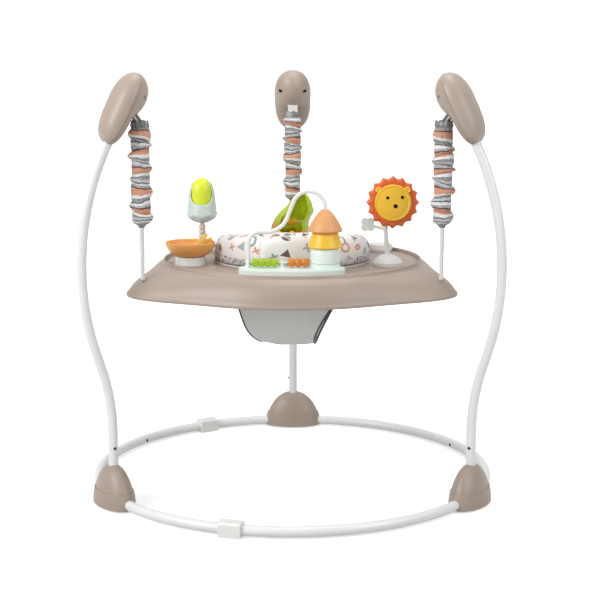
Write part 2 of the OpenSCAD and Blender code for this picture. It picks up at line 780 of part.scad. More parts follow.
// The seat cloth: u runs from leg hole to leg hole, f from the crotch (0) to the hem (90)
function sling_pt(u, f, back, inset) =
  let (w = crotch_w / 2 + (sling_band_r - crotch_w / 2) * pow(1 - cos(f), sling_draw) - inset * 0.4,
       open = 0.6 * pow(sin(min(180, 2.4 * f)), 2),
       fold = 1 + 0.02 * cos(6 * 90 * u) * sin(2 * f),
       reach = (sling_band_r - inset) * sin(f) * fold,
       y = reach * (open + (1 - open) * cos(90 * u)),
       z = sling_z + inset + (sling_top - 4 - sling_z - inset) * (1 - cos(f)) - 5 * (1 - u * u) * cos(f))
  [w * sin(90 * u), back * max(y, min(reach, side_gap)), z];

// Rows run from the front hem under the crotch to the back hem
function sling_row(r, inset) = let (v = 2 * r / sling_rows - 1, f = 90 * abs(v), back = v < 0 ? -1 : 1)
  [for (c = [0 : sling_cols]) sling_pt(2 * c / sling_cols - 1, f, back, inset)];

module seat_sling() color("#d9d9d7") placed() {
  pts = [for (r = [0 : sling_rows]) each concat(
    sling_row(r, 0),
    [for (c = [sling_cols : -1 : 0]) sling_row(r, cloth_t)[c]])];
  polyhedron(pts, band_faces(sling_rows + 1, sling_cols + 1));
}

// The sewn band that lines the seat ring and carries the sling
module seat_band() color("#c4c2bf") placed() rotate_extrude($fn = 180)
  translate([sling_top_r - cloth_t, sling_top - sling_hem]) square([cloth_t, sling_hem]);

binding_d = 5;

module sling_binding() color("#5d5f62") placed()
  translate([0, 0, sling_top - sling_hem - binding_d / 2 - air])
  rotate_extrude($fn = 96) translate([sling_top_r - cloth_t / 2, 0]) circle(r = binding_d / 2);

// Toy plate with the cone tower and its rollers

plate_top = deck_z + plate_h;
tree_angle = 289;
tree_pos = [plate_r * 0.945 * cos(tree_angle), plate_r * 0.945 * sin(tree_angle)];
post_pos = [-83, tree_pos[1]];
tower_foot_h = 8;
roller_z = plate_top + 10;
roller_y = tree_pos[1] - 12;
rail_d = 3;
rail_left = -84;
lime_x = [-76, -26];
orange_x = [-8, 32];

// Outline of the plate: the outer arc, a round end, the inner arc, a round end
function arc_pts(at, r, from, to, n) = [for (k = [0 : n]) let (b = from + (to - from) * k / n)
  [at[0] + r * cos(b), at[1] + r * sin(b)]];

function plate_outline(inset) =
  let (w = plate_w / 2 - inset, a1 = 270 - plate_half, a2 = 270 + plate_half, n = 12,
       e1 = [plate_r * cos(a1), plate_r * sin(a1)], e2 = [plate_r * cos(a2), plate_r * sin(a2)])
  concat(
    arc_pts([0, 0], plate_r + w, a1, a2, n),
    arc_pts(e2, w, a2 + 180 / n, a2 + 180 - 180 / n, n - 2),
    arc_pts([0, 0], plate_r - w, a2, a1, n),
    arc_pts(e1, w, a1 + 180 + 180 / n, a1 + 360 - 180 / n, n - 2)
  );

edge_step = 2;

module toy_plate() color(mint) placed() {
  difference() {
    union() {
      translate([0, 0, deck_z]) linear_extrude(plate_h - edge_step) polygon(plate_outline(0));
      translate([0, 0, deck_z + edge_step]) linear_extrude(plate_h - edge_step)
        polygon(plate_outline(edge_step));
      translate([tree_pos[0], tree_pos[1], plate_top - 1])
        cylinder(h = tower_foot_h + 1, d = cone_d * 0.88);
      translate([rail_left, roller_y, plate_top - 1]) cylinder(h = roller_z - plate_top + 5, r = 4);
    }
    for (p = [tree_pos, post_pos]) translate([p[0], p[1], plate_top - 8])
      cylinder(h = 60, r = bead_wire_d / 2 + push_gap);
  }
  translate([rail_left, roller_y, roller_z]) rotate([0, 90, 0])
    cylinder(h = orange_x[1] + 5 - rail_left, r = rail_d / 2);
  translate([lime_x[1] + 7, roller_y, plate_top - 1]) cylinder(h = roller_z - plate_top + 4, r = 3);
  translate([orange_x[1] + 4, roller_y, plate_top - 1]) cylinder(h = roller_z - plate_top + 4, r = 3);
}

// A roller of round lobes on the rail
module roller(span, d, lobes) {
  pitch = (span[1] - span[0]) / lobes;
  translate([span[0], roller_y, roller_z]) rotate([0, 90, 0]) difference() {
    union() {
      for (k = [0 : lobes - 1]) translate([0, 0, pitch * k]) rotate_extrude() intersection() {
        translate([0, pitch / 2]) circle(r = d / 2);
        square([d / 2, pitch]);
      }
      cylinder(h = pitch * lobes, r = d * 0.36);
    }
    translate([0, 0, -1]) cylinder(h = span[1] - span[0] + 2, r = rail_d / 2 + spin_gap);
  }
}

module lime_roller() color(lime) placed() roller(lime_x, 17, 4);

module orange_roller() color(orange) placed() roller(orange_x, 17, 3);

cone_low_z = plate_top + tower_foot_h + air;
cone_mint_h = 29;
cone_yellow_h = 30;
cone_orange_h = 42;
cone_yellow_z = cone_low_z + cone_mint_h + air;
cone_orange_z = cone_yellow_z + cone_yellow_h + air;

module cone(z, h, d1, d2) translate([tree_pos[0], tree_pos[1], z]) difference() {
  union() {
    cylinder(h = 3, d = d1);
    translate([0, 0, 3]) cylinder(h = h - 3, d1 = d1, d2 = d2);
  }
  translate([0, 0, -1]) cylinder(h = h + 2, r = bead_wire_d / 2 + spin_gap);
}

module cone_mint() color(mint) placed() cone(cone_low_z, cone_mint_h, cone_d * 0.8, cone_d * 0.66);

module cone_yellow() color(yellow)
  placed() cone(cone_yellow_z, cone_yellow_h, cone_d * 0.98, cone_d * 0.7);

module cone_orange() color(orange) placed() cone(cone_orange_z, cone_orange_h, cone_d, cone_d * 0.22);

// The bead wire, drawn in the upright plane of its two feet
arch_r = 31;
arch_turn = 158;
drop_len = 34;
sweep_r = 42;
shoulder_len = 10;
shoulder_r = 22;
arch_z = cone_orange_z + cone_orange_h + 3;

module wire_rod(len) trimmed_tube(len, bead_wire_d / 2, bead_wire_d);

module wire_arc(bend_r, angle) {
  joint(bead_wire_d / 2, bead_wire_d);
  tube_arc(bend_r, angle, bead_wire_d / 2, bead_wire_d);
}

wire_dip = 7.8;

module bead_wire() color(white) placed() translate([tree_pos[0], tree_pos[1], plate_top - wire_dip]) {
  rise = arch_z - plate_top + wire_dip;
  wire_rod(rise);
  translate([0, 0, rise]) wire_arc(-arch_r, arch_turn);
  drop_x = -arch_r * (1 - cos(arch_turn));
  drop_z = rise + arch_r * sin(arch_turn);
  translate([drop_x, 0, drop_z]) rotate([0, -arch_turn, 0]) {
    joint(bead_wire_d / 2, bead_wire_d);
    wire_rod(drop_len);
    translate([0, 0, drop_len]) wire_arc(sweep_r, arch_turn - 90);
  }
  level_x = drop_x - drop_len * sin(arch_turn) - sweep_r * sin(arch_turn - 90);
  level_z = drop_z + drop_len * cos(arch_turn) - sweep_r * (1 - cos(arch_turn - 90));
  post_len = level_z - shoulder_r;
  shoulder = level_x - shoulder_r - (post_pos[0] - tree_pos[0]);
  translate([level_x, 0, level_z]) rotate([0, -90, 0]) {
    joint(bead_wire_d / 2, bead_wire_d);
    wire_rod(shoulder);
    translate([0, 0, shoulder]) wire_arc(-shoulder_r, 90);
  }
  translate([post_pos[0] - tree_pos[0], 0, 0]) {
    wire_rod(post_len);
    translate([0, 0, post_len]) joint(bead_wire_d / 2, bead_wire_d);
  }
}

// Toys on white bases

function deck_spot(set_in, angle) = [(deck_r - set_in) * cos(angle), (deck_r - set_in) * sin(angle)];
bowl_pos = deck_spot(bowl_set, 196.3);
tulip_pos = deck_spot(tulip_set, 148);
lion_pos = deck_spot(lion_set, 339);
dish_pos = deck_spot(dish_set, 35);
base_h = 16;
pivot_r = 7;
pivot_z = deck_z + 20;
// A cross pin in the base holds the ball of a swaying toy
sway_pin_d = 3;
sway_pin_len = 2 * pivot_r + 5;

module toy_bases() color(white) placed() {
  translate([bowl_pos[0], bowl_pos[1], deck_z]) {
    cylinder(h = base_h, r1 = 32, r2 = 29);
    translate([0, 0, base_h - 1]) cylinder(h = 1 + bowl_pin_h, r = 5);
  }
  translate([dish_pos[0], dish_pos[1], deck_z]) rotate_extrude() difference() {
    polygon([[0, 0], [25, 0], [28, 6], [28, 16], [0, 16]]);
    translate([0, 5]) square([25, 20]);
  }
  for (p = [tulip_pos, lion_pos]) translate([p[0], p[1], deck_z]) difference() {
    rotate_extrude() intersection() {
      translate([0, -14]) circle(r = 36);
      square([30, 40]);
    }
    translate([0, 0, pivot_z - deck_z]) sphere(r = pivot_r + air);
    translate([0, 0, pivot_z - deck_z]) cylinder(h = 20, r1 = pivot_r - 1, r2 = pivot_r + 10);
  }
  translate([tulip_pos[0], tulip_pos[1], pivot_z]) sway_pin(0);
  translate([lion_pos[0], lion_pos[1], pivot_z]) sway_pin(0);
}

// The pin runs along Y, and the ball's bore is larger by the given gap
module sway_pin(gap) rotate([90, 0, 0])
  cylinder(h = sway_pin_len + 2 * gap, r = sway_pin_d / 2 + gap, center = true);

bowl_z = deck_z + base_h + air;
bowl_h = 29;
bowl_wall = 2.5;
bowl_pin_h = 3;
bowl_floor = 5;

module bowl() color(orange) placed() translate([bowl_pos[0], bowl_pos[1], bowl_z]) difference() {
  rotate_extrude($fn = 96) bowl_section(0);
  translate([0, 0, bowl_floor]) rotate_extrude($fn = 96) bowl_section(bowl_wall);
  translate([0, 0, -1]) cylinder(h = 1 + bowl_pin_h, r = 5 + spin_gap);
}

bowl_foot_r = 25;
bowl_steps = 10;

function bowl_r(h) = bowl_foot_r + (bowl_d / 2 - bowl_foot_r) * pow(sin(90 * h / bowl_h), 0.6);

// Round side of the bowl, and of its hollow when it is drawn in
module bowl_section(inset) polygon(concat(
  [[0, 0]],
  [for (k = [0 : bowl_steps - 1]) let (h = bowl_h * k / bowl_steps) [bowl_r(h) - inset, h]],
  [[bowl_d / 2 - inset, bowl_h + inset], [0, bowl_h + inset]]
));

chip_w = 6;
chip_disc_r = 12;
chip_lean = 50;
chip_lengths = [34, 43, 40, 31];

// Chips stand side by side in a flat disc that lies on the bowl's floor
module chips() color(yellow) placed()
  translate([bowl_pos[0], bowl_pos[1], bowl_z + bowl_floor + push_gap]) {
  cylinder(h = 4, r = chip_disc_r);
  for (k = [0 : 3]) translate([-2, (k - 1.5) * (chip_w + 1.2) - chip_w / 2, 2.8]) rotate([0, chip_lean, 0])
    translate([-chip_w / 2, 0, 0]) cube([chip_w, chip_w, chip_lengths[k]]);
}

tulip_cup_z = deck_z + 62;

module tulip_stem() color(taupe) placed() translate([tulip_pos[0], tulip_pos[1], pivot_z]) difference() {
  union() {
    sphere(r = pivot_r);
    cylinder(h = tulip_cup_z - pivot_z, r = 4);
    for (k = [1 : 3]) translate([0, 0, 3 + 10 * k]) sphere(r = 7.5);
  }
  sway_pin(spin_gap);
}

// Side of the bell, as [share of its widest radius, height]: it flares near the foot
tulip_bell = [
  [0, 0], [0.26, 0.3], [0.52, 3], [0.77, 8], [0.95, 13], [1, 16.5], [0.97, 20],
  [0.93, 27], [0.9, 35], [0.87, 44], [0.84, 55], [0.82, 66], [0.81, 75], [0, 75]
];

module tulip_cup() color(mint) placed() translate([tulip_pos[0], tulip_pos[1], tulip_cup_z]) difference() {
  rotate_extrude($fn = 96) polygon([for (p = tulip_bell) [p[0] * tulip_d / 2, p[1]]]);
  translate([0, 0, tulip_d / 2 + 4]) sphere(r = tulip_ball_r + air);
  translate([0, 0, tulip_d / 2 + 4]) cylinder(h = 60, r = tulip_ball_r + air);
  for (s = [-1, 1]) translate([0, s * 46, tulip_d / 2 + 38]) rotate([0, 90, 0])
    cylinder(h = 100, r = 34, center = true);
}

tulip_ball_r = tulip_d / 2 - 7.5;
tulip_neck = 33;

module tulip_ball() color(lime) placed()
  translate([tulip_pos[0], tulip_pos[1], tulip_cup_z + tulip_d / 2 + 4]) {
  sphere(r = tulip_ball_r);
  cylinder(h = tulip_neck, r = tulip_ball_r - 0.1);
  translate([0, 0, tulip_neck]) intersection() {
    sphere(r = tulip_ball_r);
    cylinder(h = 60, r = tulip_ball_r);
  }
}

// Lion on its forked stalk

mane_t = 12;
stalk_r = 4.4;
mane_pos = [lion_pos[0] + 8, lion_pos[1] - mane_t / 2 - stalk_r - 1.5, deck_z + 126];
hub_d = 8;
twig_lean = 75;
twig_len = 36;
twig_r = 3;
fork_lean = 6;
fork_len = 52;
fork_pos = [lion_pos[0] - fork_len * sin(fork_lean), lion_pos[1], pivot_z + fork_len * cos(fork_lean)];

module lion_stalk() color(white) placed() {
  translate([lion_pos[0], lion_pos[1], pivot_z]) difference() {
    union() {
      sphere(r = pivot_r);
      rotate([0, -fork_lean, 0]) cylinder(h = fork_len, r1 = 5, r2 = 4.4);
    }
    sway_pin(spin_gap);
  }
  translate(fork_pos) {
    sphere(r = 5);
    rotate([0, 12, 0]) cylinder(h = 54, r = 4.4);
    rotate([0, -twig_lean, 0]) cylinder(h = twig_len, r = twig_r);
  }
  translate(mane_pos) rotate([90, 0, 0]) {
    translate([0, 0, -mane_t / 2 - stalk_r - 2]) cylinder(h = mane_t + stalk_r + 2 + 6, r = hub_d / 2);
    translate([0, 0, -mane_t / 2 - 2 * stalk_r - 2.5]) cylinder(h = 2 * stalk_r + 2.5 - air, r = 9);
  }
}

leaf_pos = fork_pos + twig_len * [-sin(twig_lean), 0, cos(twig_lean)];

module lion_leaf() color(mint) placed() translate(leaf_pos) rotate([90, 0, 0]) difference() {
  translate([0, 0, -3.5]) linear_extrude(7) {
    for (k = [0 : 3]) rotate(90 * k + 45) translate([8, 0]) circle(r = 7.5);
    circle(r = 8);
  }
  rotate([90, 0, 0]) rotate([0, twig_lean, 0]) translate([0, 0, -push_gap])
    cylinder(h = twig_len, r = twig_r + push_gap);
}

module lion_disc_frame() placed() translate(mane_pos) rotate([90, 0, 0]) children();

// Pointed edge of the mane, hollow between the points
mane_dip = 5;
mane_steps = 6;
mane_outline = [for (k = [0 : mane_steps * scallops - 1])
  let (a = 360 * k / mane_steps / scallops)
  let (r = mane_d / 2 - mane_dip * sqrt(abs(sin(180 * k / mane_steps))))
  [r * cos(a), r * sin(a)]];

module lion_mane() color("#e8772e") lion_disc_frame() difference() {
  translate([0, 0, -mane_t / 2]) linear_extrude(mane_t) polygon(mane_outline);
  translate([0, 0, -mane_t]) cylinder(h = 2 * mane_t, r = hub_d / 2 + spin_gap);
}

face_r = 35;
face_t = 9;

module lion_face() color(yellow) lion_disc_frame() translate([0, 0, mane_t / 2]) difference() {
  union() {
    rotate_extrude($fn = 96) intersection() {
      translate([0, face_t - 80]) circle(r = 80);
      square([face_r, face_t]);
    }
    for (s = [-1, 1]) translate([s * 28, 24, 0]) cylinder(h = 5, r = 6.5);
  }
  cylinder(h = 7, r = hub_d / 2 + spin_gap);
}

module lion_features() color("#4a2f22") lion_disc_frame() translate([0, 0, mane_t / 2 + face_t]) {
  for (p = [[-13, 10, 2.6], [14, 11, 2.6], [3, -6, 4]])
    translate([p[0], p[1], 80 * cos(asin((norm([p[0], p[1]]) - p[2]) / 80)) - 80])
    cylinder(h = 1.6, r = p[2]);
}

// Leaf-shaped hood with a roller, behind the seat

hood_pos = [-8, deck_r - hood_set];
hood_r = 42;
hood_h = 118;
hood_wall = 2.5;
hood_roller_z = deck_z + 55;
hood_axle_d = 4;
hood_open = 110;

module hood_section(inset) intersection() {
  translate([-110 + inset, 22]) circle(r = 154 - 2 * inset, $fn = 128);
  translate([0, inset > 0 ? -1 : 0]) square([hood_r - inset, hood_h - inset]);
}

module hood() color(lime) placed() translate([hood_pos[0], hood_pos[1], deck_z]) {
  spoke(-90 + hood_open / 2 + 20) rotate_extrude(angle = 360 - hood_open, $fn = 128) difference() {
    hood_section(0);
    hood_section(hood_wall);
  }
  cylinder(h = 5, r = hood_r - 1);
  translate([-hood_axle_len / 2, 0, hood_roller_z - deck_z]) rotate([0, 90, 0])
    cylinder(h = hood_axle_len, r = hood_axle_d / 2);
}

hood_axle_len = 79;

module hood_roller() color(orange) placed() translate([hood_pos[0], hood_pos[1], hood_roller_z])
  rotate([0, 90, 0]) difference() {
  union() {
    cylinder(h = 34, r = 6, center = true);
    for (k = [-1 : 1]) translate([0, 0, 12 * k]) cylinder(h = 4, r = 8, center = true);
  }
  cylinder(h = 40, r = hood_axle_d / 2 + spin_gap, center = true);
}

ring_arc(left);  // ring_arc_left
ring_arc(right);  // ring_arc_right
ring_arc(rear);  // ring_arc_rear
ring_plugs();
floor_clips();
foot_bases();
foot_covers();
foot_pads();
housing_screws();
leg_stubs();
leg(0);  // leg_left
leg(1);  // leg_right
leg(2);  // leg_rear
head_back(left);  // head_back_left
head_back(right);  // head_back_right
head_back(rear);  // head_back_rear
head_face(left);  // head_face_left
head_face(right);  // head_face_right
head_face(rear);  // head_face_rear
hanger_pins();
hanger_loops();
spring_top_caps();
coil_springs();
spring_sleeves();
ring_button(ring_joints[0]);  // ring_button_front
ring_button(ring_joints[1]);  // ring_button_right
ring_button(ring_joints[2]);  // ring_button_left
leg_button(0);  // leg_button_left
leg_button(1);  // leg_button_right
leg_button(2);  // leg_button_rear
tray();
strap_anchors();
tray_straps();
spring_bottom_caps();
seat_ring();
seat_pad();
seat_band();
seat_sling();
sling_binding();
toy_plate();
bead_wire();
lime_roller();
orange_roller();
cone_mint();
cone_yellow();
cone_orange();
toy_bases();
bowl();
chips();
tulip_stem();
tulip_cup();
tulip_ball();
lion_stalk();
lion_leaf();
lion_mane();
lion_face();
lion_features();
hood();
hood_roller();
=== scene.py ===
# %% [markdown]
# # Dressing a baby jumper in Blender
# The solids of the jumper come from CAD and are packed as a fixed frame. This
# lesson loads that frame, keeps every solid whose shape is already right, and
# replaces the soft or softly moulded ones with finer meshes. Everything is in
# metres, +Z is up and the child looks along -Y.

# %% Load the frame
import random
import bmesh
import bpy
from math import acos, atan2, copysign, cos, exp, hypot, pi, radians, sin, sqrt
from mathutils import Matrix, Vector


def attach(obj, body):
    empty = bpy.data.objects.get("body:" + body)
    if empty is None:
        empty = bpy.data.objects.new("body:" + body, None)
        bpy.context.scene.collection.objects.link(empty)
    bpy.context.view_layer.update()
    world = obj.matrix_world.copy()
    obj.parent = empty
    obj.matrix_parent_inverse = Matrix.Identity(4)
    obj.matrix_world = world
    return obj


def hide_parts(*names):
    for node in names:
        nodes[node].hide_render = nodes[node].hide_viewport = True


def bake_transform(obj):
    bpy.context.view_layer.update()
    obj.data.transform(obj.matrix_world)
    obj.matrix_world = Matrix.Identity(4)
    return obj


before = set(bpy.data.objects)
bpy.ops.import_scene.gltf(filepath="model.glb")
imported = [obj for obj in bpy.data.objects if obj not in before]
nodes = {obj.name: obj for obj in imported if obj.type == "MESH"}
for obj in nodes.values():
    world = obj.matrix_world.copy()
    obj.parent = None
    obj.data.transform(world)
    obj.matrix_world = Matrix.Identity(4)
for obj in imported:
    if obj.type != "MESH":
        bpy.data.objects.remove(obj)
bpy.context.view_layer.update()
scene = bpy.context.scene


def put(name, data):
    """Puts a new object with that data into the scene."""
    thing = bpy.data.objects.new(name, data)
    scene.collection.objects.link(thing)
    return thing


# %% [markdown]
# ## Camera
# The camera comes first, because every later choice is judged through it. Its
# place was worked out from the floor ring, which is a true circle and so fixes
# the height and the tilt, and from the legs, which fix the distance.

# %% Camera
camera_data = bpy.data.cameras.new("camera")
camera_data.sensor_width = 36
camera_data.lens = 83.48
camera = put("camera", camera_data)
camera.location = (0.00936, -2.8341, 0.8548)
camera.rotation_euler = (radians(80.18), 0, radians(-0.13))
scene.camera = camera
scene.view_settings.view_transform = "Standard"
print("camera at", tuple(camera.location))

# %% [markdown]
# ## One way to write a material
# A material is a small graph of nodes. `add` makes one node with its settings,
# and `plug` sets its sockets, so each finish below reads as a short recipe.
# Colours are written as sRGB hex, as a paint chart has them, and turned to linear
# here.

# %% Colour and node helpers
def linear(hex_code):
    """An sRGB hex colour as a linear RGBA tuple."""
    parts = [int(hex_code[i:i + 2], 16) / 255 for i in (1, 3, 5)]
    return tuple(c / 12.92 if c <= 0.04045 else ((c + 0.055) / 1.055) ** 2.4 for c in parts) + (1,)


def plug(tree, node, sockets):
    """Sets sockets: each takes a value, an output, or a node, whose first output is meant."""
    for key, value in sockets.items():
        source = value.outputs[0] if isinstance(value, bpy.types.Node) else value
        if isinstance(source, bpy.types.NodeSocket):
            tree.links.new(source, node.inputs[key])
        else:
            node.inputs[key].default_value = source


def add(tree, kind, sockets=None, stops=None, **settings):
    """Adds a shader node with its settings, its sockets and the stops of a colour ramp."""
    node = tree.nodes.new("ShaderNode" + kind)
    for key, value in settings.items():
        setattr(node, key, value)
    plug(tree, node, sockets or {})
    if stops:
        points = node.color_ramp.elements
        while len(points) < len(stops):
            points.new(0.5)
        for point, (place, colour) in zip(points, stops):
            point.position = place
            point.color = linear(colour)
    return node


def per_mm(size):
    """Texture scale for a pattern whose repeat is that many millimetres."""
    return 1000 / size


def new_material(name):
    """A fresh material, its tree, its surface node and the place on the object."""
    material = bpy.data.materials.new(name)
    material.use_nodes = True
    tree = material.node_tree
    return material, tree, tree.nodes["Principled BSDF"], add(tree, "TexCoord").outputs["Object"]


def drifting(tree, place, size, detail, tone, shade):
    """A noise of that size in mm, and a colour that drifts with it from tone to shade."""
    cloud = add(tree, "TexNoise", {"Vector": place, "Scale": per_mm(size), "Detail": detail})
    return cloud, add(tree, "MixRGB", {"Fac": cloud, "Color1": linear(tone), "Color2": linear(shade)})


print("helpers ready; white is", linear("#ffffff"))

# %% [markdown]
# ## Moulded plastic
# Most hard pieces are injection moulded. A mould leaves a very fine spark
# texture, so the gloss breaks up, and the colour drifts a little over a hand's
# width. The texture is drawn at about 1.5 mm, coarser than the real 0.3 mm,
# because a finer one would not show. Polypropylene and ABS have an IOR of
# 1.49 to 1.53. The hood's leaf is moulded in two shots, lime and then orange,
# and the small dark features of the lion shine less.

# %% Moulded plastics
SPARK_MM, DRIFT_MM, PLASTIC_IOR = 1.5, 70, 1.5


def moulded(name, tone, shade, rough, bump=0.06, clear=0.0):
    """A moulded plastic: tone drifts to shade, and a fine grain breaks the gloss."""
    material, tree, bsdf, place = new_material(name)
    drift, colour = drifting(tree, place, DRIFT_MM, 3, tone, shade)
    gloss = add(tree, "MapRange", {"Value": drift, "To Min": rough - 0.06, "To Max": rough + 0.06})
    spark = add(tree, "TexNoise", {"Vector": place, "Scale": per_mm(SPARK_MM), "Detail": 2})
    relief = add(tree, "Bump", {"Height": spark, "Strength": bump, "Distance": 0.0004})
    plug(tree, bsdf, {"Base Color": colour, "Roughness": gloss, "Normal": relief,
                      "IOR": PLASTIC_IOR, "Transmission Weight": clear})
    return material


taupe_abs = moulded("moulded_abs_taupe", "#a9998d", "#a19185", 0.42, bump=0.10)
# The heads are the tray's taupe ABS, painted lighter: painted light that brightens them.
head_taupe_painted_lighter = moulded("moulded_abs_taupe_painted_lighter", "#b2a296", "#aa9a8e", 0.40, bump=0.10)
white_pp = moulded("moulded_polypropylene_white", "#eeeeec", "#e7e7e4", 0.34)
mint_abs = moulded("moulded_abs_mint", "#e8f3ed", "#e0eee7", 0.38)
sage_abs = moulded("moulded_abs_sage", "#d0dbd5", "#c8d5ce", 0.42)
pale_abs = moulded("moulded_abs_pale_sage", "#dfe8e2", "#d6e1da", 0.42)
peach_abs = moulded("moulded_abs_peach", "#e3a671", "#dd9d66", 0.42)
orange_abs = moulded("moulded_abs_orange", "#f2b065", "#eba65b", 0.40)
yellow_abs = moulded("moulded_abs_yellow", "#f9c93c", "#f4c030", 0.36)
mane_abs = moulded("moulded_abs_burnt_orange", "#e66e34", "#db602a", 0.42)
egg_abs = moulded("moulded_abs_yellow_lime", "#e2f03c", "#d7e730", 0.30)
chip_abs = moulded("moulded_abs_straw", "#f6cf70", "#efc25a", 0.40)
brown_abs = moulded("moulded_abs_dark_brown", "#1d120d", "#170e0a", 0.25)
brown_abs.node_tree.nodes["Principled BSDF"].inputs["IOR"].default_value = 1.2
sand_abs = moulded("moulded_abs_sand", "#d8c8bb", "#cebeb0", 0.42)
grey_pp = moulded("moulded_polypropylene_pale_grey", "#d6d2cc", "#cdc9c3", 0.45)
lime_clear = moulded("moulded_san_clear_lime", "#c3e01e", "#aed00f", 0.16, bump=0.03, clear=0.4)
amber_clear = moulded("moulded_san_clear_amber", "#f09a2c", "#e68518", 0.16, bump=0.03, clear=0.4)
dark_tpe = moulded("moulded_tpe_dark", "#57504b", "#4c4642", 0.7, bump=0.2)

leaf_abs = moulded("moulded_abs_lime_two_shot", "#d0e42c", "#c2dc20", 0.34, clear=0.35)
tree = leaf_abs.node_tree
bsdf = tree.nodes["Principled BSDF"]
first_shot = bsdf.inputs["Base Color"].links[0].from_socket
tip = add(tree, "Attribute", attribute_name="tip").outputs["Fac"]
two_shot = add(tree, "MixRGB", {"Fac": tip, "Color1": first_shot, "Color2": linear("#f2a63c")})
plug(tree, bsdf, {"Base Color": two_shot})
print("plastics made:", len(bpy.data.materials))

# %% [markdown]
# ## Coated and plated steel
# The tubes are steel with a white powder coat, baked until it flows. It keeps a
# faint orange peel of 3 to 4 mm and a soft gloss. Springs, plugs and pins are
# zinc plated, a bright metal with a slight haze, and screws are blackened.

# %% Steel finishes
PEEL_MM = 3.5


def powder_coat(name, tone, shade):
    material, tree, bsdf, place = new_material(name)
    haze, colour = drifting(tree, place, 60, 3, tone, shade)
    gloss = add(tree, "MapRange", {"Value": haze, "To Min": 0.24, "To Max": 0.36})
    peel = add(tree, "TexNoise", {"Vector": place, "Scale": per_mm(PEEL_MM), "Detail": 1})
    relief = add(tree, "Bump", {"Height": peel, "Strength": 0.05, "Distance": 0.0005})
    plug(tree, bsdf, {"Base Color": colour, "Roughness": gloss, "Normal": relief,
                      "Coat Weight": 0.2, "Coat Roughness": 0.15})
    return material


def plated(name, tone, shade, rough):
    material, tree, bsdf, place = new_material(name)
    haze, colour = drifting(tree, place, 8, 4, tone, shade)
    gloss = add(tree, "MapRange", {"Value": haze, "To Min": rough - 0.08, "To Max": rough + 0.08})
    plug(tree, bsdf, {"Base Color": colour, "Roughness": gloss, "Metallic": 1})
    return material


white_steel = powder_coat("powder_coated_steel_white", "#eeeeed", "#e6e6e5")
zinc_steel = plated("zinc_plated_steel", "#c9cbcc", "#b3b6b8", 0.30)
black_steel = plated("blackened_steel", "#4a4744", "#3a3835", 0.42)
print("steel finishes:", white_steel.name, zinc_steel.name, black_steel.name)

# %% [markdown]
# ## Cloth
# Four cloths show: striped cotton on the spring sleeves, printed cotton on the
# seat pad, spacer mesh on the sling and woven webbing. A weave is two sets of
# threads; two crossed waves give it, at 1.6 mm here so that it shows, where the
# real threads lie about 0.5 mm apart. Cloth is rough and has a sheen.

# %% Cloth base
THREAD_MM = 1.6


def weave_relief(tree, place, strength):
    """A plain weave as a bump: two crossed sets of threads, with slubs."""
    threads = {"Vector": place, "Scale": per_mm(THREAD_MM) / 6.28, "Distortion": 0.6}
    warp = add(tree, "TexWave", threads, bands_direction="DIAGONAL").outputs["Fac"]
    weft = add(tree, "TexWave", threads, bands_direction="Z").outputs["Fac"]
    both = add(tree, "Math", {0: warp, 1: weft}, operation="MULTIPLY")
    slub = add(tree, "TexNoise", {"Vector": place, "Scale": per_mm(12), "Detail": 4})
    height = add(tree, "Math", {0: both, 1: slub}, operation="ADD")
    return add(tree, "Bump", {"Height": height, "Strength": strength, "Distance": 0.0008})


def cloth_material(name, strength, sheen=0.3):
    """A woven cloth without its colour; strength is that of the weave."""
    material, tree, bsdf, place = new_material(name)
    plug(tree, bsdf, {"Normal": weave_relief(tree, place, strength), "Roughness": 0.85,
                      "Sheen Weight": sheen, "Sheen Roughness": 0.5})
    return material, tree, bsdf, place


def plain_cloth(name, tone, shade, strength):
    material, tree, bsdf, place = cloth_material(name, strength)
    plug(tree, bsdf, {"Base Color": drifting(tree, place, 9, 5, tone, shade)[1]})
    return material


webbing = plain_cloth("woven_nylon_white", "#eaeae8", "#dcdcda", 0.35)
band_cloth = plain_cloth("woven_cotton_pale_grey", "#c6c4c1", "#b5b3b0", 0.3)
tape_cloth = plain_cloth("binding_tape_grey", "#5e6063", "#4b4d50", 0.4)
print("plain cloths:", webbing.name, band_cloth.name, tape_cloth.name)

# %% [markdown]
# The sleeve cotton is striped across: pale grey, mid grey, white, terracotta, a
# thin brown line, pale grey, white and dark grey. On a gathered sleeve the
# stripes follow the cloth, not the height, so the mesh carries an attribute,
# `along`, with the cloth's own length in repeats, and the stripes are read from
# that. A second one, `neck`, is strongest where the sleeve is drawn in, and there a painted shade of dark
# brown darkens the gathers.

# %% Sleeve cotton
sleeve_cotton, tree, bsdf, place = cloth_material("striped_cotton_gathered", 0.35)
along = add(tree, "Attribute", attribute_name="along").outputs["Fac"]
ripple = add(tree, "TexNoise", {"Vector": place, "Scale": per_mm(14), "Detail": 3})
shift = add(tree, "Math", {0: ripple, 1: 0.18, 2: along}, operation="MULTIPLY_ADD")
repeat = add(tree, "Math", {0: shift}, operation="FRACT")
stripes = add(tree, "ValToRGB", {"Fac": repeat}, stops=[
    (0.00, "#c6c8ca"), (0.10, "#8f9599"), (0.22, "#efecea"), (0.36, "#d79c80"),
    (0.63, "#664f47"), (0.71, "#b4b8bb"), (0.82, "#efecea"), (0.93, "#706f6f")])
stripes.color_ramp.interpolation = "CONSTANT"
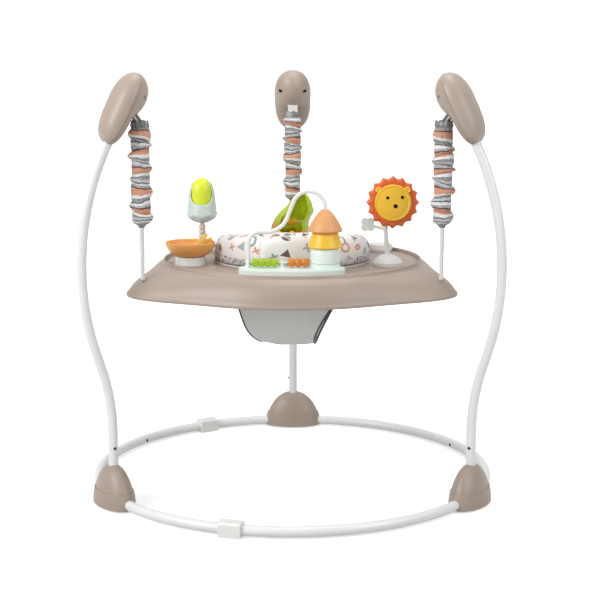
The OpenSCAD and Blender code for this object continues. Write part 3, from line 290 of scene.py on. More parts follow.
# Painted shade: where the sleeve is drawn in, the stripes darken towards a dark brown, broken up by a
# noise.
neck = add(tree, "Attribute", attribute_name="neck").outputs["Fac"]
gather_shade_noise = add(tree, "TexNoise", {"Vector": place, "Scale": per_mm(5), "Detail": 3})
gather_shade = add(tree, "Math", {0: neck, 1: gather_shade_noise}, operation="MULTIPLY")
stripes_with_gather_shade = add(tree, "MixRGB", {"Fac": gather_shade, "Color1": stripes, "Color2": linear("#4a3a35")})
crease = add(tree, "TexNoise", {"Vector": place, "Scale": per_mm(7), "Detail": 3, "Distortion": 0.8})
weave = bsdf.inputs["Normal"].links[0].from_socket
creased = add(tree, "Bump", {"Height": crease, "Strength": 0.6, "Distance": 0.003, "Normal": weave})
plug(tree, bsdf, {"Base Color": stripes_with_gather_shade, "Normal": creased})
print("stripes in one repeat:", len(stripes.color_ramp.elements))

# %% [markdown]
# The pad's cotton has a scattered print on white, a plain design of this
# lesson's own: rings, leaves, triangles and crosses of 15 to 24 mm in grey,
# brown and terracotta. The mesh carries the cloth's flat place in an attribute,
# `flat`. A Voronoi pattern cuts that plane into cells, and in each cell the
# place from the cell's middle goes through a short list of sums that draws the
# four motifs; the cell's random colour picks one of them, its turn and its tint.
# Thin grey lines across the pad are the seams between its panels, given as angles
# in degrees round the ring.

# %% Pad cotton
PRINT_CELL, PRINT_R, STITCH_HALF = 29, 136, 0.7
SEAMS = (246, 298, 350, 90, 190)
MOTIFS = [
    ("ax", "ABSOLUTE", "x"), ("ay", "ABSOLUTE", "y"),
    ("x2", "MULTIPLY", "x", "x"), ("y2", "MULTIPLY", "y", "y"),
    ("r2", "ADD", "x2", "y2"), ("r", "SQRT", "r2"),
    ("ring_gap", "SUBTRACT", "r", 8.4), ("ring_off", "ABSOLUTE", "ring_gap"),
    ("ring", "LESS_THAN", "ring_off", 2.3),
    ("bow", "MULTIPLY_ADD", "y2", -0.045, 6.4), ("leaf_full", "LESS_THAN", "ax", "bow"),
    ("vein", "GREATER_THAN", "ax", 0.7), ("leaf", "MULTIPLY", "leaf_full", "vein"),
    ("slope", "MULTIPLY_ADD", "ax", 1.73, "y"), ("under", "LESS_THAN", "slope", 11.0),
    ("above", "GREATER_THAN", "y", -6.0), ("triangle", "MULTIPLY", "under", "above"),
    ("arm", "MINIMUM", "ax", "ay"), ("thin", "LESS_THAN", "arm", 1.9),
    ("tip", "MAXIMUM", "ax", "ay"), ("short", "LESS_THAN", "tip", 8.0),
    ("cross", "MULTIPLY", "thin", "short"),
    ("is_leaf", "GREATER_THAN", "pick", 0.28), ("is_triangle", "GREATER_THAN", "pick", 0.55),
    ("is_cross", "GREATER_THAN", "pick", 0.78),
]
pad_cotton, tree, bsdf, place = cloth_material("printed_cotton_padded", 0.2)
flat = add(tree, "Attribute", attribute_name="flat").outputs["Vector"]
cell = {"Vector": flat, "Scale": 1 / PRINT_CELL, "Randomness": 0.7}
cells = add(tree, "TexVoronoi", cell, voronoi_dimensions="2D").outputs
dice = add(tree, "SeparateColor", {"Color": cells["Color"]}).outputs
spin = add(tree, "Math", {0: dice["Blue"], 1: 6.28}, operation="MULTIPLY")
offset = add(tree, "VectorMath", {0: flat, 1: cells["Position"]}, operation="SUBTRACT")
local = add(tree, "VectorRotate", {"Vector": offset, "Angle": spin}, rotation_type="Z_AXIS")
xy = add(tree, "SeparateXYZ", {"Vector": local}).outputs
sums = {"x": xy["X"], "y": xy["Y"], "pick": dice["Red"]}
for name, operation, *values in MOTIFS:
    sockets = {i: sums.get(value, value) for i, value in enumerate(values)}
    sums[name] = add(tree, "Math", sockets, operation=operation)
mark = sums["ring"]
for motif in ("leaf", "triangle", "cross"):
    choice = {"Factor": sums["is_" + motif], 2: mark, 3: sums[motif]}
    mark = add(tree, "Mix", choice, data_type="FLOAT")
along_pad = add(tree, "SeparateXYZ", {"Vector": flat})
seam_gap = 1000.0
for seam in SEAMS:
    seam_place = radians((seam - 90) % 360) * PRINT_R
    gap = add(tree, "Math", {0: along_pad, 1: seam_place}, operation="SUBTRACT")
    near = add(tree, "Math", {0: gap}, operation="ABSOLUTE")
    seam_gap = add(tree, "Math", {0: near, 1: seam_gap}, operation="MINIMUM")
stitch = add(tree, "Math", {0: seam_gap, 1: STITCH_HALF}, operation="LESS_THAN")
tint = add(tree, "ValToRGB", {"Fac": dice["Green"]}, stops=[
    (0.0, "#8e979d"), (0.3, "#6b5750"), (0.58, "#dc9877"), (0.8, "#aab1b5")])
tint.color_ramp.interpolation = "CONSTANT"
ground = drifting(tree, place, 20, 5, "#f4f2f0", "#edeae7")[1]
printed = add(tree, "MixRGB", {"Fac": mark, "Color1": ground, "Color2": tint})
sewn = add(tree, "MixRGB", {"Fac": stitch, "Color1": printed, "Color2": linear("#d2cfcc")})
plug(tree, bsdf, {"Base Color": sewn})
print("pad print: cells of", PRINT_CELL, "mm and", len(MOTIFS), "sums")

# %% [markdown]
# The trim under the pad is a grey mottled cotton, and the sling is spacer mesh:
# a pale knit with rows of small holes. The holes are drawn 2.6 mm apart.

# %% Trim and mesh
FLECK_MM, HOLE_MM = 7, 2.6
trim_cotton, tree, bsdf, place = cloth_material("speckled_cotton_trim", 0.3)
flecks = add(tree, "TexVoronoi", {"Vector": place, "Scale": per_mm(FLECK_MM)})
fleck = add(tree, "ValToRGB", {"Fac": flecks}, stops=[
    (0.22, "#4f4d4f"), (0.40, "#a5a3a2"), (0.75, "#c9c7c4")])
plug(tree, bsdf, {"Base Color": fleck})

mesh_knit, tree, bsdf, place = cloth_material("spacer_mesh_pale_grey", 0.15, sheen=0.2)
holes = add(tree, "TexVoronoi", {"Vector": place, "Scale": per_mm(HOLE_MM), "Randomness": 0.15})
pierced = add(tree, "ValToRGB", {"Fac": holes}, stops=[
    (0.14, "#d6d7d5"), (0.36, "#eaebe8"), (1.0, "#f0f0ed")])
dimple = add(tree, "Bump", {"Height": holes, "Strength": 0.35, "Distance": 0.001})
plug(tree, bsdf, {"Base Color": pierced, "Normal": dimple})
print("cloths made:", trim_cotton.name, mesh_knit.name)

# %% [markdown]
# ## Stage and light
# The photograph has a white ground with a soft shadow under the ring. The floor
# is a pale plane. Where the camera looks at it, a part of its white comes from
# emission, more so far off, so it meets the white world without a line and still
# takes shadow near the jumper.

# %% Stage
FLOOR_HALF, FLOOR_DROP = 30, 0.0005
floor_corners = [(x * FLOOR_HALF, y * FLOOR_HALF, 0) for x, y in ((-1, -1), (1, -1), (1, 1), (-1, 1))]
floor_mesh = bpy.data.meshes.new("floor")
floor_mesh.from_pydata(floor_corners, [], [(0, 1, 2, 3)])
floor = put("floor", floor_mesh)
floor.location.z = -FLOOR_DROP

floor_paint, tree, bsdf, place = new_material("matt_painted_floor")
tree.nodes.remove(bsdf)
ray = add(tree, "LightPath").outputs
shown = add(tree, "Math", {0: ray["Is Camera Ray"], 1: ray["Is Glossy Ray"]}, operation="ADD")
through = add(tree, "Math", {0: shown, 1: ray["Is Transmission Ray"]}, operation="ADD")
far = add(tree, "VectorMath", {0: place}, operation="LENGTH").outputs["Value"]
fade = add(tree, "MapRange", {"Value": far, "From Min": 0.5, "From Max": 2.0,
                              "To Min": 0.50, "To Max": 1.0})
own_white = add(tree, "Math", {0: through, 1: fade}, operation="MULTIPLY")
glow = add(tree, "Emission", {"Color": (1, 1, 1, 1), "Strength": own_white})
pale = add(tree, "MixRGB", {"Fac": ray["Is Camera Ray"], "Color1": (0.58, 0.58, 0.58, 1),
                            "Color2": (0.92, 0.92, 0.92, 1)})
matt = add(tree, "BsdfDiffuse", {"Color": pale})
total = add(tree, "AddShader", {0: glow, 1: matt})
plug(tree, tree.nodes["Material Output"], {"Surface": total})
floor_mesh.materials.append(floor_paint)
print("floor half width:", FLOOR_HALF, "m")

# %% [markdown]
# The world is white to the camera and dimmer as a light, so that the three soft
# lamps can shape the jumper: a key from the left, a fill from the right and one
# above. Mirrored rays see the world brighter, which keeps the plastics' gloss.

# %% World and lamps
world = bpy.data.worlds.new("studio")
scene.world = world
world.use_nodes = True
sky = world.node_tree
ray = add(sky, "LightPath").outputs
direct = add(sky, "Math", {0: ray["Is Camera Ray"], 1: ray["Is Transmission Ray"]}, operation="ADD")
mirrored = add(sky, "Math", {0: ray["Is Glossy Ray"], 1: 0.6, 2: direct}, operation="MULTIPLY_ADD")
level = add(sky, "MapRange", {"Value": mirrored, "To Min": 0.35, "To Max": 1.0})
plug(sky, sky.nodes["Background"], {"Color": (1, 1, 1, 1), "Strength": level})


def soft_lamp(name, place, aim, size, power):
    lamp = bpy.data.lights.new(name, "AREA")
    lamp.shape = "DISK"
    lamp.size = size
    lamp.energy = power
    lamp_object = put(name, lamp)
    lamp_object.location = place
    lamp_object.rotation_euler = (Vector(aim) - Vector(place)).to_track_quat("-Z", "Y").to_euler()


soft_lamp("key_left", (-2.6, -1.9, 2.2), (0, 0, 0.4), 2.2, 86)
soft_lamp("fill_right", (2.3, -1.8, 1.8), (0, 0, 0.4), 1.8, 30)
soft_lamp("top", (0.2, 0.3, 3.0), (0, 0, 0.3), 2.0, 34)
print("lamps:", len(bpy.data.lights))

# %% [markdown]
# ## Measures and mesh helpers
# The ring's middle lies a little in front of the frame's origin. `at` takes a
# place in millimetres from the ring's middle, as the drawing has it, and `around`
# takes it as a distance and an angle. New meshes are worked out point by point,
# which keeps them exact and in step with the drawing: `grid` joins the points to
# faces, `piece` makes the mesh, and `dress` says what a new piece rides on and what it replaces.

# %% Places and faces
MM = 0.001
RING_MIDDLE = Vector((0, -0.02727, 0))
LEGS = {"left": 210, "right": 330, "rear": 90}


def at(x, y, z):
    return Vector((x, y, z)) * MM + RING_MIDDLE


def around(r, angle, z):
    """A place r mm from the ring's axis, at an angle in radians and a height in mm."""
    return at(r * cos(angle), r * sin(angle), z)


def turns(count):
    """Angles of that many equal steps round a circle."""
    return [2 * pi * k / count for k in range(count)]


def grid(cols, rows, loop_cols=True, loop_rows=True):
    """Quads over columns of points; a loop joins the last to the first."""
    faces = []
    for c in range(cols if loop_cols else cols - 1):
        for r in range(rows if loop_rows else rows - 1):
            c2, r2 = (c + 1) % cols, (r + 1) % rows
            faces.append((c * rows + r, c2 * rows + r, c2 * rows + r2, c * rows + r2))
    return faces


print("ring middle at", tuple(RING_MIDDLE))

# %% Pieces
def smooth(mesh):
    mesh.polygons.foreach_set("use_smooth", [True] * len(mesh.polygons))


def piece(name, points, faces, material):
    mesh = bpy.data.meshes.new(name)
    mesh.from_pydata([tuple(p) for p in points], [], faces)
    work = bmesh.new()
    work.from_mesh(mesh)
    bmesh.ops.remove_doubles(work, verts=work.verts, dist=1e-6)
    bmesh.ops.dissolve_degenerate(work, edges=work.edges, dist=1e-7)
    bmesh.ops.recalc_face_normals(work, faces=work.faces)
    work.to_mesh(mesh)
    work.free()
    mesh.materials.append(material)
    smooth(mesh)
    return put(name, mesh)


def dress(thing, body, slot, *replaced):
    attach(thing, body)
    if replaced:
        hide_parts(*replaced)
    return thing


print("mesh helpers ready")

# %% [markdown]
# ## Solids that keep their CAD shape
# Tubes, plugs, screws, clips, feet and many toys already have the right shape.
# They only need a finish, smooth shading, and on moulded edges a small bevel modifier, which leaves the
# CAD mesh itself untouched.

# %% Finishes for the CAD solids
FINISH = {
    white_steel: ["ring_arc_left", "ring_arc_right", "ring_arc_rear", "leg_stubs",
                  "leg_left", "leg_right", "leg_rear"],
    zinc_steel: ["ring_plugs", "hanger_pins"],
    black_steel: ["housing_screws", "ring_button_front", "ring_button_right", "ring_button_left",
                  "leg_button_left", "leg_button_right", "leg_button_rear"],
    taupe_abs: ["foot_bases", "foot_covers", "strap_anchors"],
    sand_abs: ["tulip_stem"],
    white_pp: ["floor_clips", "spring_top_caps", "spring_bottom_caps", "bead_wire", "lion_stalk",
               "toy_bases"],
    dark_tpe: ["foot_pads"],
    webbing: ["hanger_loops"],
    grey_pp: ["seat_ring"],
    mint_abs: ["toy_plate"],
    pale_abs: ["lion_leaf"],
    lime_clear: ["lime_roller"],
    amber_clear: ["orange_roller"],
    yellow_abs: ["hood_roller"],
}
BEVELS = {
    0.6: ["spring_top_caps", "spring_bottom_caps"],
    0.8: ["strap_anchors", "hood_roller", "foot_covers"],
    0.9: ["ring_arc_left", "ring_arc_right", "ring_arc_rear"],
    1.0: ["foot_bases"],
    1.2: ["floor_clips", "toy_bases"],
    1.6: ["toy_plate"],
    2.0: ["lion_leaf"],
}


def soften(thing, width):
    """Rounds the sharp edges of a piece by a width in mm."""
    bevel = thing.modifiers.new("edge", "BEVEL")
    bevel.width = width * MM
    bevel.segments = 3
    bevel.limit_method = "ANGLE"
    bevel.angle_limit = radians(50)


for material, names in FINISH.items():
    for name in names:
        mesh = nodes[name].data
        mesh.materials.clear()
        mesh.materials.append(material)
        mesh.polygons.foreach_set("material_index", [0] * len(mesh.polygons))
for width, names in BEVELS.items():
    for name in names:
        soften(nodes[name], width)
print("finished CAD solids:", sum(len(names) for names in FINISH.values()))

# %% [markdown]
# ## Spring heads
# A head is two moulded halves: a pill-shaped back, and a face with a snout that
# overhangs the spring. Each level of the head is an oval with its own width,
# back depth and front depth, so the whole form is three curves over the height.
# The two eyes are the sunk screw holes, and the slot below the snout lets the
# webbing out; both are cut with booleans.

# %% Form of a head
HEAD_LOW, HEAD_WIDEST, HEAD_HIGH = -4, 82, 142
HEAD_HALF, HEAD_BACK, HEAD_FRONT, HEAD_GAP = 40, 31, 17, 0.15
SNOUT_OUT, SNOUT_H, SNOUT_HALF, SNOUT_BLEND = 33, 98, 42, 5


def head_level(h):
    """Half width, back depth, front depth and snout depth of the head at height h, in mm."""
    if h > HEAD_WIDEST:
        fall = ((h - HEAD_WIDEST) / (HEAD_HIGH - HEAD_WIDEST)) ** 2.3
    else:
        fall = ((HEAD_WIDEST - h) / (HEAD_WIDEST - HEAD_LOW)) ** 3.4
    egg = max(0, 1 - fall) ** 0.45
    snout = SNOUT_OUT * sqrt(max(0, 1 - ((h - SNOUT_H) / SNOUT_HALF) ** 2))
    return HEAD_HALF * egg, HEAD_BACK * egg, HEAD_FRONT * egg, snout


def softer_max(a, b, width):
    return (a + b + sqrt((a - b) ** 2 + width * width)) / 2


def head_half(name, back):
    """One half of a head, closed along the flat parting plane."""
    rows, cols = 60, 40
    points = []
    for i in range(rows + 1):
        lift = (1 - cos(pi * i / rows)) / 2
        h = HEAD_LOW + (HEAD_HIGH - HEAD_LOW) * lift
        width, deep, front, snout = head_level(h)
        for k in range(cols + 1):
            a = pi * k / cols
            side = copysign(abs(cos(a)) ** 0.92, cos(a))
            bulge = sin(a)
            if back:
                x, y = HEAD_GAP + deep * bulge ** 0.78, width * side
            else:
                ahead = softer_max(front * bulge ** 0.9, snout * bulge ** 1.5, SNOUT_BLEND * bulge)
                x, y = -HEAD_GAP - ahead, (width - 0.8 * min(1, width / 4)) * side
            points.append(Vector((x, y, h)) * MM)
    faces = grid(rows + 1, cols + 1, False, False)
    for i in range(rows):
        low, high = i * (cols + 1), (i + 1) * (cols + 1)
        faces.append((low, high, high + cols, low + cols))
    return piece(name, points, faces, head_taupe_painted_lighter)


def bake(thing):
    """Applies every modifier of the piece."""
    bpy.context.view_layer.update()
    graph = bpy.context.evaluated_depsgraph_get()
    done = bpy.data.meshes.new_from_object(thing.evaluated_get(graph))
    thing.modifiers.clear()
    old, thing.data = thing.data, done
    bpy.data.meshes.remove(old)


def cut(thing, points, faces):
    """Cuts a closed form out of the piece and keeps the result as plain mesh."""
    tool = piece("cutter", points, faces, brown_abs)
    modifier = thing.modifiers.new("cut", "BOOLEAN")
    modifier.object = tool
    modifier.solver = "EXACT"
    bake(thing)
    bpy.data.objects.remove(tool)


face_form = head_half("head_face_form", False)
back_form = head_half("head_back_form", True)
print("head forms:", len(face_form.data.vertices), "and", len(back_form.data.vertices), "points")

# %% Eyes, slot and the six halves
EYE_Y, EYE_H, EYE_FLOOR, EYE_FRONT = 26, 102.5, -8, -60
EYE_HALF_W, EYE_HALF_H, EYE_SIDES = 5.2, 5.0, 24
SLOT_X, SLOT_Y, SLOT_Z = (-70, -6), (-12, 12), (46, 62)
NECK_R, NECK_Z, LEAN = 396.3, 701.65, 27.5
BOX_FACES = [(0, 1, 3, 2), (4, 6, 7, 5), (0, 4, 5, 1), (2, 3, 7, 6), (0, 2, 6, 4), (1, 5, 7, 3)]


def capped(rings, sides):
    """Faces of a rod made of rings of points, closed at both ends."""
    last = (rings - 1) * sides
    return grid(rings, sides, False, True) + [tuple(range(sides)), tuple(range(last, last + sides))]


for side in (-1, 1):
    eye = []
    for x in (EYE_FRONT, EYE_FLOOR):
        for a in turns(EYE_SIDES):
            y, z = side * EYE_Y + EYE_HALF_W * cos(a), EYE_H + EYE_HALF_H * sin(a)
            eye.append(Vector((x, y, z)) * MM)
    cut(face_form, eye, capped(2, EYE_SIDES))
slot_box = [Vector((x, y, z)) * MM for x in SLOT_X for y in SLOT_Y for z in SLOT_Z]
cut(face_form, slot_box, BOX_FACES)


def head_place(angle):
    leg = Matrix.Translation(RING_MIDDLE) @ Matrix.Rotation(radians(angle), 4, "Z")
    neck = Matrix.Translation((NECK_R * MM, 0, NECK_Z * MM))
    return leg @ neck @ Matrix.Rotation(radians(-LEAN), 4, "Y")


for side, angle in LEGS.items():
    for form, half in ((face_form, "face"), (back_form, "back")):
        mesh = form.data.copy()
        mesh.transform(head_place(angle))
        smooth(mesh)
        dress(put(f"shell_{half}_{side}", mesh), "frame", "taupe_shell", f"head_{half}_{side}")
bpy.data.objects.remove(face_form)
bpy.data.objects.remove(back_form)
print("head halves made:", 2 * len(LEGS))

# %% [markdown]
# ## Springs and gathered sleeves
# Each spring hangs in a cotton sleeve that is longer than the spring and so
# gathers into puffs. The sleeve is one tube of cloth: its radius swells between
# tight necks, each puff sits a little off the axis and tilts against the next
# one, and fine pleats run into the necks. Above it ends in a ragged ruffle and
# below in a knot round the webbing. The stripes follow the cloth's own length,
# which is added up row by row. Sleeve and spring stretch with the tray; here both are baked in place and
# tied to neither the frame nor the tray.

# %% Rows of a sleeve
SPRING_R, SLEEVE_TOP, SLEEVE_LOW, EASE = 331, 725, 549, 14
NECK_RADIUS, PUFFS, PUFF_ROWS, STRIPE_REPEAT = 16.0, 8, 24, 40
KNOT = [(5.6, 538), (6.2, 540.5), (8.5, 543), (13, 545.5), (16, 547.5)]
RUFFLE = [(16.6, 725), (16.4, 728), (17.6, 731), (17.2, 734), (16.4, 737), (16.2, 740)]


def smooth_step(t):
    t = min(1, max(0, t))
    return t * t * (3 - 2 * t)


# A plain row of the knot or the ruffle; its neck of 0.6 paints a fixed shade there.
def plain_row(r, z, pleat):
    return dict(r=r, z=z, off=(0, 0), tilt=(0, 0), pleat=pleat, neck=0.6)


def sleeve_rows(draw):
    """Rows of the sleeve from the knot up: radius, height, offset, tilt, pleat depth and gather."""
    heights = [draw.uniform(0.6, 1.3) for _ in range(PUFFS)]
    unit = (SLEEVE_TOP - SLEEVE_LOW) / sum(heights)
    puffs = []
    for k in range(PUFFS):
        lean = pi * (k % 2) + draw.uniform(-0.8, 0.8)
        size = draw.uniform(18.2, 20.8) + 0.8 * k / PUFFS
        puffs.append((size, lean, draw.uniform(2.8, 5.6), draw.uniform(0.5, 0.95) * (size - 15.9)))
    rows = [plain_row(r, z, 0.8) for r, z in KNOT]
    low = SLEEVE_LOW
    for k, (size, lean, tilt, off) in enumerate(puffs):
        lean_2, tilt_2 = puffs[min(k + 1, PUFFS - 1)][1:3]
        for i in range(PUFF_ROWS):
            part = i / PUFF_ROWS
            z = low + part * heights[k] * unit
            swell = sin(pi * part ** 0.88) ** 0.6 if i else 0
            mix = smooth_step(part)
            ease = min(1, (z - SLEEVE_LOW) / EASE, (SLEEVE_TOP - z) / EASE)
            tilts = [ease * ((1 - mix) * tilt * wave(lean) + mix * tilt_2 * wave(lean_2))
                     for wave in (cos, sin)]
            offs = [off * swell * wave(lean + 0.6) for wave in (cos, sin)]
            rows.append(dict(r=NECK_RADIUS + (size - NECK_RADIUS) * swell, z=z, off=offs, tilt=tilts,
                             pleat=1.0 - 0.6 * swell, neck=max(0, 1 - 1.5 * swell)))
        low += heights[k] * unit
    return rows + [plain_row(r, z, 1.1) for r, z in RUFFLE]


print("rows in a sleeve:", len(KNOT) + PUFFS * PUFF_ROWS + len(RUFFLE))

# %% Cloth of a sleeve
SLEEVE_COLS, CLOTH_MM, RAGGED_Z, RUFFLE_STRIPE = 84, 0.8, 736, 0.02


def thicken(thing, wall, offset=-1):
    """Gives a sheet its thickness in mm; an offset of 0 puts it in the middle of the wall."""
    shell = thing.modifiers.new("wall", "SOLIDIFY")
    shell.thickness = wall * MM
    shell.offset = offset


def sleeve(name, angle, seed):
    """One gathered sleeve; also gives the spring's axis and the cloth's area."""
    draw = random.Random(seed)
    rows = sleeve_rows(draw)
    axis = around(SPRING_R, radians(angle), 0)
    points, cloth, neck_shades = [], [], []
    run = draw.uniform(0, 1)
    for i, row in enumerate(rows):
        mid, high = row["r"], row["z"]
        if i:
            run += hypot(mid - rows[i - 1]["r"], high - rows[i - 1]["z"]) / STRIPE_REPEAT
        for a in turns(SLEEVE_COLS):
            drift = a + 0.02 * (high - SLEEVE_LOW)
            pleat = sin(11 * drift) + 0.5 * sin(19 * a + 0.11 * high)
            crumple = 0.35 * sin(5 * a + 0.16 * high + seed) + 0.3 * sin(17 * a + 0.9 * high)
            r = mid + 0.6 * pleat * row["pleat"] * min(1, mid / 16) + crumple
            x, y = r * cos(a) + row["off"][0], r * sin(a) + row["off"][1]
            ragged = 1.6 * sin(8 * a + seed) if high > RAGGED_Z else 0
            z = high + ragged + row["tilt"][0] * cos(a) + row["tilt"][1] * sin(a)
            points.append(axis + Vector((x, y, z)) * MM)
            cloth.append(run if SLEEVE_LOW - 4 < high <= SLEEVE_TOP else RUFFLE_STRIPE)
            neck_shades.append(row["neck"])
    thing = piece(name, points, grid(len(rows), SLEEVE_COLS, False, True), sleeve_cotton)
    # The `neck` attribute sets how much painted shade darkens the gathers.
    for attribute, values in (("along", cloth), ("neck", neck_shades)):
        thing.data.attributes.new(attribute, "FLOAT", "POINT").data.foreach_set("value", values)
    area = sum(face.area for face in thing.data.polygons)
    thicken(thing, CLOTH_MM)
    bake(thing)
    return thing, axis, area


print("points round a sleeve:", SLEEVE_COLS)

# %% Sleeves and their springs
COIL_R, WIRE_R, COIL_TURNS, COIL_STEPS, WIRE_SIDES = 13, 1.5, 10, 24, 8


def coil(name, axis):
    """The coil spring inside the sleeve: ten turns of 3 mm wire."""
    low, high = SLEEVE_LOW + 10, SLEEVE_TOP - 10
    count = COIL_TURNS * COIL_STEPS
    points = []
    for i in range(count + 1):
        a = 2 * pi * i / COIL_STEPS
        z = low + (high - low) * i / count
        for b in turns(WIRE_SIDES):
            r = COIL_R + WIRE_R * cos(b)
            points.append(axis + Vector((r * cos(a), r * sin(a), z + WIRE_R * sin(b))) * MM)
    return piece(name, points, capped(count + 1, WIRE_SIDES), zinc_steel)


for number, (side, angle) in enumerate(LEGS.items()):
    cotton, axis, cotton_area = sleeve(f"sleeve_{side}", angle, 11 + number)
    wire = coil(f"coil_{side}", axis)
    stretched = ((cotton, "sleeve_cotton", "spring_sleeves"), (wire, "zinc_steel", "coil_springs"))
    for thing, slot, node in stretched:
        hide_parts(node)
        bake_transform(thing)
    print(cotton.name, len(cotton.data.vertices), "points, cloth", round(cotton_area, 4), "square metres")

# %% [markdown]
# ## Webbing below the springs
# A strap of soft webbing runs from each sleeve down into its anchor in the tray.
# Folded and sewn, it is an oval of about 9 x 8 mm with a slight waver.

# %% Webbing
STRAP_LOW, STRAP_TOP, STRAP_HALF_W, STRAP_HALF_T = 432, 545, 4.5, 4.0


def strap(name, angle):
    turn, rows, sides = radians(angle), 40, 20
    points = []
    for i in range(rows + 1):
        z = STRAP_LOW + (STRAP_TOP - STRAP_LOW) * i / rows
        thick = STRAP_HALF_T * (1 + 0.05 * sin(0.9 * i))
        for b in turns(sides):
            flat_side = copysign(abs(cos(b)) ** 0.8, cos(b))
            out = SPRING_R + thick * sin(b) + 0.3 * sin(0.25 * i)
            across = STRAP_HALF_W * flat_side + 0.3 * sin(0.17 * i + angle)
            x = out * cos(turn) - across * sin(turn)
            y = out * sin(turn) + across * cos(turn)
            points.append(at(x, y, z))
    return piece(name, points, capped(rows + 1, sides), webbing)


for side, angle in LEGS.items():
    replaced = ["tray_straps"] if side == "left" else []
    dress(strap(f"strap_{side}", angle), "tray", "white_webbing", *replaced)
print("straps:", len(LEGS))

# %% [markdown]
# ## Tray
# The tray is one large moulding: a flat round deck with a thin raised lip and a
# gutter inside it, and a skirt that swells out into three corners for the
# straps. A corner's reach is a power of a cosine, as in the drawing. Here the
# same curves are sampled finely and the section runs on round the lower edge and
# back under the deck. Short stretches of the section are given from its corners:
# the seat hole's edge, the gutter and lip, the skirt's edge and the underside.

# %% Tray
DECK_Z, DECK_R, SEAT_HOLE, DECK_MIDDLE = 452, 262, 150, 200
TIP_R, SIDE_R, TIP_Z, SIDE_Z, LOBE_POWER = 358, 294, 404, 400, 5
SKIRT_WALL, SKIRT_BEND, SKIRT_START, BEAD_H = 3, 1.15, 0.16, 8
HOLE_EDGE = [(0, -18), (0, -1.5), (0.5, -0.4), (1.6, 0)]
LIP = [(-12, 0), (-10, 0), (-9, -0.6), (-8.2, -2.4), (-7, -3), (-6, -2.2), (-5.5, 1), (-5, 4.6),
       (-4.2, 6.4), (-3, 7), (-1.6, 6.8), (-0.5, 5.6), (0, 3.4), (0.6, 1)]
SKIRT_EDGE = [(0.5, 7.0), (1.3, 6.0), (1.5, 3.0), (1.3, 0.8), (0.4, 0), (-2.4, 0), (-3.0, 1)]
UNDER_LIP = [(-6, -6), (-14, -6), (-20, -3)]
UNDER_HOLE = [(3, -3), (3, -18)]
TRAY_STEPS = 240


def skirt(angle, t, wall):
    """A place on the skirt, from the lip at t = 0 to the lower edge at t = 1."""
    lobe = ((1 + cos(3 * (angle - pi / 2))) / 2) ** LOBE_POWER
    rim_r, rim_z = SIDE_R + (TIP_R - SIDE_R) * lobe, SIDE_Z + (TIP_Z - SIDE_Z) * lobe
    inner, top = DECK_R - 4, DECK_Z + 1
    r = inner + (rim_r - wall - inner) * sin(pi / 2 * t) ** SKIRT_BEND
    z = rim_z + (top - wall - rim_z) * max(0, cos(pi / 2 * t)) ** SKIRT_BEND
    return r, z


def from_corner(stretch, r, z):
    return [(r + out, z + up) for out, up in stretch]


def tray_section(angle):
    """The tray's closed section at an angle, from the seat hole over the top and back below."""
    deck = from_corner(HOLE_EDGE, SEAT_HOLE, DECK_Z) + [(DECK_MIDDLE, DECK_Z)]
    lip = from_corner(LIP, DECK_R, DECK_Z)
    out = [skirt(angle, SKIRT_START + (1 - SKIRT_START) * k / 22, 0) for k in range(23)]
    rim_r, rim_z = out[-1]
    out = [spot for spot in out if spot[1] > rim_z + BEAD_H]
    out = [out[round(k * (len(out) - 1) / 19)] for k in range(20)]
    back = [skirt(angle, 1 - k / 12, SKIRT_WALL) for k in range(1, 12)]
    under = from_corner(UNDER_LIP, DECK_R, DECK_Z) + from_corner(UNDER_HOLE, SEAT_HOLE, DECK_Z)
    return deck + lip + out + from_corner(SKIRT_EDGE, rim_r, rim_z) + back + under


tray_points = []
for angle in turns(TRAY_STEPS):
    section = tray_section(angle)
    tray_points += [around(r, angle, z) for r, z in section]
tray_shell = piece("tray_moulding", tray_points, grid(TRAY_STEPS, len(section)), taupe_abs)
dress(tray_shell, "tray", "taupe_shell", "tray")
print("tray:", len(tray_points), "points")

# %% [markdown]
# ## Seat pad
# The pad is a stuffed ring, higher at the front than at the back, sewn from
# panels. It starts as a ring a little slimmer than the real pad. Cloth
# simulation with inside pressure then swells it, and the seams between the
# panels are pulled in afterwards, because the remesh would have lost them.

# %% Seat pad
PAD_R, PAD_IN_R, PAD_Z, CREST_FRONT, CREST_BACK = 159, 111, 456.4, 519, 493
PAD_SLIM, PAD_STEPS, PAD_SIDES, PAD_BELLY = 2.0, 140, 40, 0.36
PAD_MIDDLE, PAD_CORE = (PAD_R + PAD_IN_R) / 2, PAD_Z + 22
SWELL_VOXEL, SWELL_PRESSURE, SWELL_CAP, SWELL_HELD, SWELL_FRAMES = 0.005, 4, 0.006, 0.012, 20


def pad_section(angle, slim):
    half = (PAD_R - PAD_IN_R) / 2 - slim
    crest = (CREST_FRONT + CREST_BACK) / 2 - (CREST_FRONT - CREST_BACK) / 2 * sin(angle) - slim
    rise = crest - PAD_Z
    section = []
    for b in turns(PAD_SIDES):
        c, s = cos(b), sin(b)
        bulge = half * copysign(abs(c) ** 0.88, c)
        if s >= 0:
            share = PAD_BELLY + (1 - PAD_BELLY) * s ** 0.95
        else:
            share = PAD_BELLY * max(0, 1 + s / 0.75)
            bulge *= 0.84 + 0.16 * (1 + s)
        section.append((PAD_MIDDLE + bulge, PAD_Z + 0.4 + rise * share))
    return section


pad_points = []
for angle in turns(PAD_STEPS):
    pad_points += [around(r, angle, z) for r, z in pad_section(angle, PAD_SLIM)]
pad = piece("seat_cushion", pad_points, grid(PAD_STEPS, PAD_SIDES), pad_cotton)


